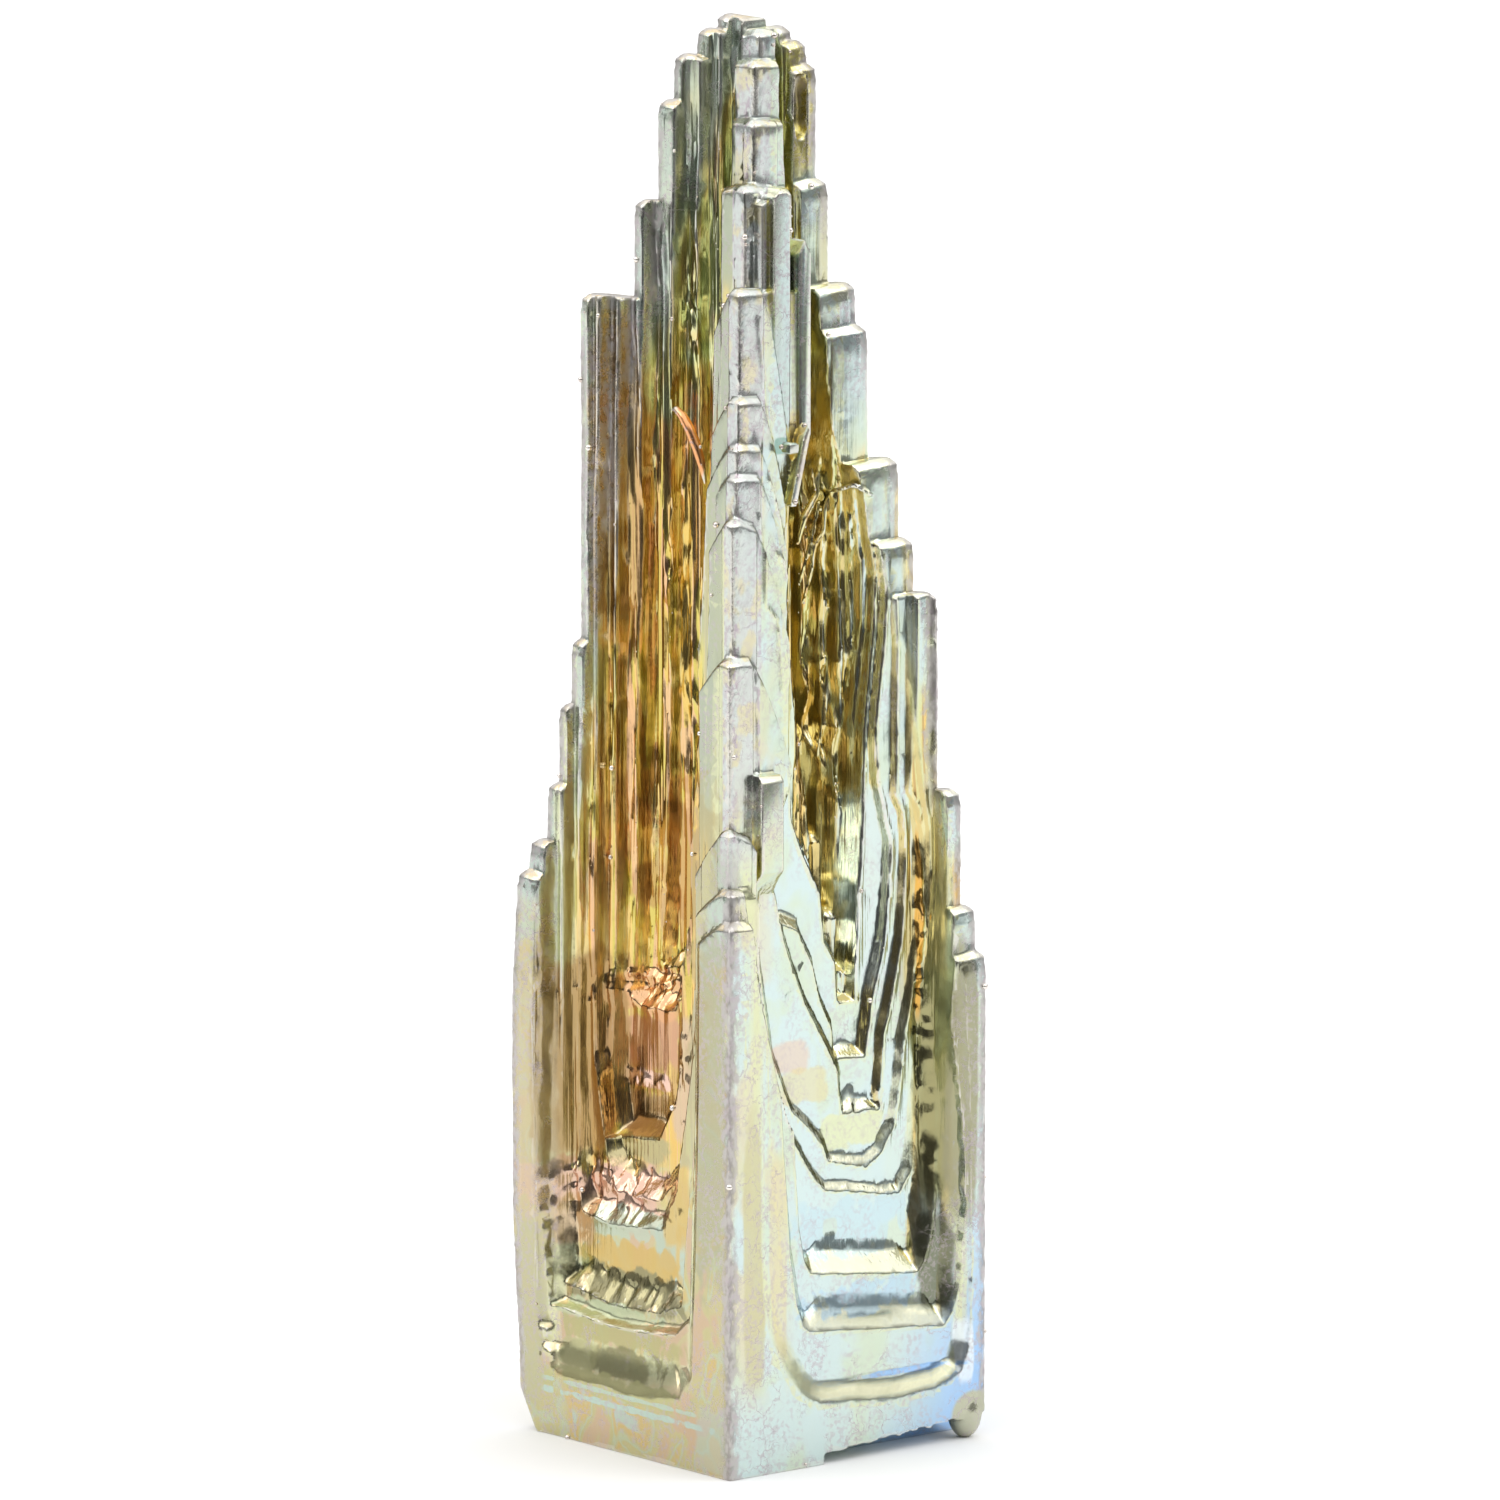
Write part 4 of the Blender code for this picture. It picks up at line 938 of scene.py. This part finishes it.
    # painted highlight: pale colour on what faces up, where the light from above would shine; gold on
    # channel walls
    color = blend(Level(painted("bevel")) * 0.9, color, s["softBevel"])
    color = blend(band(towardZ, 0.15, 0.5, 0.0, 0.75), color, blend(onLeft, s["bevel"], s["paintedHighlightLeft"]))
    wall = band(towardX, -0.75, -0.35, 0.9, 0.0) * band(recess, 0.25, 0.6) * onFront
    color = blend(wall, color, s["wall"])
    # patches with their own colours, and one painted dark reflection, as superellipses with ragged borders
    ragged = cloud(1.3, (1, 1, 0.8), 4.0, 0.5) * 4.4 - 2.2
    for face, patches in ((onFront, s["frontPatches"]), (onLeft, s["leftPatches"])):
        for u, up, wide, tall, code, strength in patches:
            if face is onFront:
                size = away((u, 0, up), (wide, math.inf, tall), True)
            else:
                size = away((0, -u, up), (math.inf, wide, tall), True)
            inside = band(ragged * min(1.0, wide / 2.4) + size, 0.7, 1.2, strength, 0.0)
            color = blend(inside * face, color, code)
    # pale speckled panels on the front corner's ridge
    corner = abs(farX - farY)
    intoPanel = onLeft * -0.5 + 1.12 - corner
    onRidge = (band(intoPanel, -0.03, 0.05) * band(z, 20.5, 22.5) * band(x, -0.5, -0.2, 1.0, 0.0)
               * band(y, -0.5, -0.2, 1.0, 0.0) * band(recess, 0.5, 0.9, 1.0, 0.0))
    border = band(abs(intoPanel), 0.05, 0.22, 1.0, 0.0).math("MAXIMUM", band(corner, 0.04, 0.2, 1.0, 0.0))
    spots = band(cloud(5.0, (1, 1, 0.8), 4.0), 0.50, 0.60) * (border * 0.8 + 0.25)
    panel = blend(band(cloud(1.1, (1, 1, 0.6), 3.0), 0.52, 0.60), s["panel"], s["cream"])
    color = blend(onRidge * 0.85, color, blend(spots, panel, s["panelSpeckle"]))
    # thin silver along the outward edges, and a copper-coloured thread
    outward = band(Level(painted("edge")), 0.60, 0.72) * band(depth, 0.2, 0.4, 0.8, 0.1)
    color = blend(outward, color, s["convex"])
    color = blend(band(away(s["threadCentre"], (0.42, 1.0, 1.5)), 0.9, 1.1, 0.9, 0.0), color, s["thread"])
    # silver rims, rough and speckled, along the corners
    speckle = cloud(4.5, (1, 1, 0.6), 4.0)
    onCorner = band(corner + (speckle * 1.2 - 0.6), 0.15, 0.55, 1.0, 0.0) * band(recess, 0.2, 0.8, 1.0, 0.0)
    rim = onCorner * band(cloud(1.6, (1, 1, 0.5), 3.0), 0.30, 0.46) * (1.0 - onRidge)
    color = blend(rim * 0.9, color, blend(band(speckle, 0.42, 0.62), s["rim"], s["rimDark"]))
    color = blend(band(away(bead["centre"], (1, 1, 1)), 0.95, 1.1, 1.0, 0.0), color, s["bead"])
    # fine crooked wrinkles on the flats, 0.4 to 0.9 mm apart
    shaken = addNode(tree, "ShaderNodeTexNoise", {"Scale": 1.9, "Detail": 3.0, "Vector": inMm})
    shift = addNode(tree, "ShaderNodeVectorMath", {"operation": "MULTIPLY_ADD", 0: shaken.outputs["Color"],
                                                   1: (1.1, 1.1, 1.1), 2: inMm})
    lines = []
    for scale, low, high, where in ((1.15, 0.008, 0.04, band(cloud(0.55, (1, 1, 1), 3.0), 0.48, 0.60)),
                                    (2.6, 0.01, 0.05, band(cloud(0.9, (1, 1, 0.7), 3.0), 0.50, 0.60))):
        cracks = addNode(tree, "ShaderNodeTexVoronoi", {"feature": "DISTANCE_TO_EDGE", "Scale": scale,
                                                        "Vector": shift.outputs[0]})
        lines.append(band(Level(cracks.outputs["Distance"]), low, high, 1.0, 0.0) * where)
    flat = (band(depth, 0.05, 0.2, 1.0, 0.0) * band(recess, 0.25, 0.9, 1.0, 0.6)
            * band(towardZ, 0.1, 0.25, 1.0, 0.0))
    wrinkle = lines[0].math("MAXIMUM", lines[1] * 0.8) * flat
    color = blend(wrinkle * 0.6, color, s["wrinkle"])
    # fine lilac specks in clusters on the flats
    specks = band(cloud(6.0, (1, 1, 1), 4.0), 0.51, 0.58) * band(cloud(0.7, (1, 1, 0.6), 3.0), 0.42, 0.55)
    color = blend(specks * flat * 0.5, color, s["wrinkle"])
    tree.links.new(color.socket, shader.inputs["Base Color"])
    rough = rim.math("MAXIMUM", wrinkle) * 0.12 + band(recess, 0.4, 1.2, 0.22, 0.14)
    tree.links.new(rough.socket, shader.inputs["Roughness"])
    # grain on the rims, and fine upright lines in the channels
    lined = cloud(7.0, (1, 1, 0.03), 2.0) * band(recess, 0.3, 1.0, 0.0, 0.8)
    grain = speckle * (onCorner * 0.7 + 0.22) + lined
    bump = addNode(tree, "ShaderNodeBump", {"Strength": 0.35, "Distance": 0.06 * mm, "Height": grain.socket})
    tree.links.new(bump.outputs[0], shader.inputs["Normal"])
    return metal


tower.data.materials.clear()
tower.data.materials.append(oxideMetalWithPaintedLight(filmAndPaintedLight))
print("finish made")

# ---- beads of metal that set along the rims of the steps ----
crumbs = {
    "Per square metre": 1.6e6,
    "Smallest radius": 0.025 * mm,
    "Largest radius": 0.13 * mm,
    "Edge share": 0.60,                                 # how sharp an edge must be to hold beads
    "Clump scale": 520.0,
    "Seed": 17,
    "color": "#efe9e2",
    "colorDull": "#d2c6be",
}


def bareMetal(s):
    # bismuth without a film: silver with a faint pink
    metal = bpy.data.materials.new("bare_bismuth_beads")
    metal.use_nodes = True
    tree = metal.node_tree
    shader = tree.nodes["Principled BSDF"]
    shader.inputs["Metallic"].default_value = 1.0
    shader.inputs["Roughness"].default_value = 0.2
    coords = addNode(tree, "ShaderNodeTexCoord", {})
    mottle = addNode(tree, "ShaderNodeTexNoise", {"Scale": 1.8 / mm, "Detail": 2.0,
                                                  "Vector": coords.outputs["Object"]})
    share = addNode(tree, "ShaderNodeMapRange", {"From Min": 0.4, "From Max": 0.6,
                                                 "Value": mottle.outputs["Fac"]})
    mixed = addNode(tree, "ShaderNodeMix", {"data_type": "RGBA", "Factor": share.outputs[0],
                                            6: hexColor(s["color"]), 7: hexColor(s["colorDull"])})
    tree.links.new(mixed.outputs[2], shader.inputs["Base Color"])
    return metal


def growCrumbs(s, surface, finish):
    tree = bpy.data.node_groups.new("beads_on_rims", "GeometryNodeTree")
    tree.interface.new_socket("Geometry", in_out="INPUT", socket_type="NodeSocketGeometry")
    names = {}
    for name in list(s)[:6]:
        kind = "NodeSocketInt" if name == "Seed" else "NodeSocketFloat"
        names[name] = tree.interface.new_socket(name, in_out="INPUT", socket_type=kind).identifier
    tree.interface.new_socket("Geometry", in_out="OUTPUT", socket_type="NodeSocketGeometry")
    given = addNode(tree, "NodeGroupInput", {}).outputs
    edge = addNode(tree, "GeometryNodeInputNamedAttribute", {"data_type": "FLOAT", "Name": "edge"})
    sharp = addNode(tree, "FunctionNodeCompare", {"data_type": "FLOAT", "operation": "GREATER_THAN",
                                                  0: edge.outputs[0], 1: given["Edge share"]})
    clumps = addNode(tree, "ShaderNodeTexNoise", {"Detail": 1.0, "Scale": given["Clump scale"]})
    dense = addNode(tree, "ShaderNodeMath", {"operation": "GREATER_THAN", 1: 0.5, 0: clumps.outputs[0]})
    amount = addNode(tree, "ShaderNodeMath", {"operation": "MULTIPLY", 0: dense.outputs[0],
                                              1: given["Per square metre"]})
    points = addNode(tree, "GeometryNodeDistributePointsOnFaces", {
        "Mesh": given["Geometry"], "Selection": sharp.outputs[0], "Density": amount.outputs[0],
        "Seed": given["Seed"]})
    chance = addNode(tree, "FunctionNodeRandomValue", {"data_type": "FLOAT", "Seed": given["Seed"]})
    mostlySmall = addNode(tree, "ShaderNodeMath", {"operation": "POWER", 1: 3.0, 0: chance.outputs[1]})
    radius = addNode(tree, "ShaderNodeMapRange", {
        "Value": mostlySmall.outputs[0], 3: given["Smallest radius"], 4: given["Largest radius"]})
    ball = addNode(tree, "GeometryNodeMeshIcoSphere", {"Radius": 1.0, "Subdivisions": 2})
    beads = addNode(tree, "GeometryNodeInstanceOnPoints", {"Points": points.outputs[0],
                                                           "Instance": ball.outputs[0],
                                                           "Scale": radius.outputs[0]})
    real = addNode(tree, "GeometryNodeRealizeInstances", {0: beads.outputs[0]})
    made = addNode(tree, "GeometryNodeSetMaterial", {"Material": finish, "Geometry": real.outputs[0]})
    addNode(tree, "NodeGroupOutput", {0: made.outputs[0]})
    thing = bpy.data.objects.new("beads_on_rims", surface.data.copy())
    bpy.context.scene.collection.objects.link(thing)
    grown = thing.modifiers.new("beads", "NODES")
    grown.node_group = tree
    for name, identifier in names.items():
        grown[identifier] = s[name]
    applyModifiers(thing)
    thing.data.shade_smooth()
    return thing


beadsOnRims = growCrumbs(crumbs, tower, bareMetal(crumbs))
print("beads set", len(beadsOnRims.data.polygons))

# ---- plain pale floor and soft light from all round ----
studio = {"floorColor": "#f4f4f4", "floorBack": 1.5, "floorFront": 0.12, "sky": 1.0,
          "brightness": [(0.0, 0.22), (0.16, 0.22), (0.32, 0.85), (0.52, 1.42), (1.0, 1.42)],
          "brightnessBehind": [(0.0, 0.40), (0.15, 0.42), (0.34, 0.95), (0.52, 1.42), (1.0, 1.42)],
          "darkSide": -39.5}                            # the open, unlit side of the tent


def makeStudio(s):
    openSide = outwards(s["darkSide"], 0)
    along = Vector((-openSide.y, openSide.x, 0))
    front, back = s["floorFront"], s["floorBack"]
    corners = [openSide * front - along * back, openSide * front + along * back,
               (along - openSide) * back, -(along + openSide) * back]
    mesh = bpy.data.meshes.new("floor")
    mesh.from_pydata([tuple(corner) for corner in corners], [], [(0, 1, 2, 3)])
    if mesh.polygons[0].normal.z < 0:
        mesh.flip_normals()
    floor = bpy.data.objects.new("floor", mesh)
    bpy.context.scene.collection.objects.link(floor)
    paint = bpy.data.materials.new("pale_floor_paint")
    paint.use_nodes = True
    paint.node_tree.nodes["Principled BSDF"].inputs["Base Color"].default_value = hexColor(s["floorColor"])
    paint.node_tree.nodes["Principled BSDF"].inputs["Roughness"].default_value = 0.8
    mesh.materials.append(paint)
    world = bpy.data.worlds.new("light_tent")
    world.use_nodes = True
    tree = world.node_tree
    back = tree.nodes["Background"]
    direction = addNode(tree, "ShaderNodeTexCoord", {})
    parts = addNode(tree, "ShaderNodeSeparateXYZ", {0: direction.outputs["Generated"]})
    ramps = []
    for name in ("brightness", "brightnessBehind"):
        ramp = addNode(tree, "ShaderNodeValToRGB", {"Fac": parts.outputs["Z"]})
        stops = ramp.color_ramp.elements
        while len(stops) < len(s[name]):
            stops.new(0.5)
        for stop, (height, level) in zip(stops, s[name]):
            stop.position = height
            stop.color = (level, level, level, 1)
        ramps.append(ramp.outputs[0])
    lobe = addNode(tree, "ShaderNodeVectorMath", {
        "operation": "DOT_PRODUCT", 0: direction.outputs["Generated"], 1: tuple(openSide)}).outputs["Value"]
    behind = addNode(tree, "ShaderNodeMapRange", {"From Min": 0.12, "From Max": -0.12, "Value": lobe})
    sky = addNode(tree, "ShaderNodeMix", {"data_type": "RGBA", "Factor": behind.outputs[0], 6: ramps[0],
                                          7: ramps[1]})
    lit = addNode(tree, "ShaderNodeMapRange", {
        "interpolation_type": "SMOOTHSTEP", "From Min": 0.72, "From Max": 0.93, "To Min": 1.0,
        "To Max": 0.32, "Value": lobe})
    scaled = addNode(tree, "ShaderNodeVectorMath", {"operation": "SCALE", 0: sky.outputs[2],
                                                    "Scale": lit.outputs[0]})
    # what shows past the floor is as pale as the floor
    path = addNode(tree, "ShaderNodeLightPath", {})
    seen = addNode(tree, "ShaderNodeMix", {"data_type": "RGBA", "Factor": path.outputs["Is Camera Ray"],
                                           6: scaled.outputs[0], 7: (1, 1, 1, 1)})
    tree.links.new(seen.outputs[2], back.inputs["Color"])
    back.inputs["Strength"].default_value = s["sky"]
    bpy.context.scene.world = world
    bpy.context.scene.view_settings.view_transform = "Standard"


makeStudio(studio)


def areaLight(name, azimuth, elevation):
    data = bpy.data.lights.new(name, "AREA")
    data.shape = "RECTANGLE"
    data.size, data.size_y = 0.25, 0.35
    data.energy = 0.35
    setDown(name, data, Vector((0, 0, 0.025)), outwards(azimuth, elevation), 0.5)


areaLight("softbox_left", -115, 35)
areaLight("softbox_right", 30, 50)

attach(tower, "root")
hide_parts("bismuth_crystal")
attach(beadsOnRims, "root")
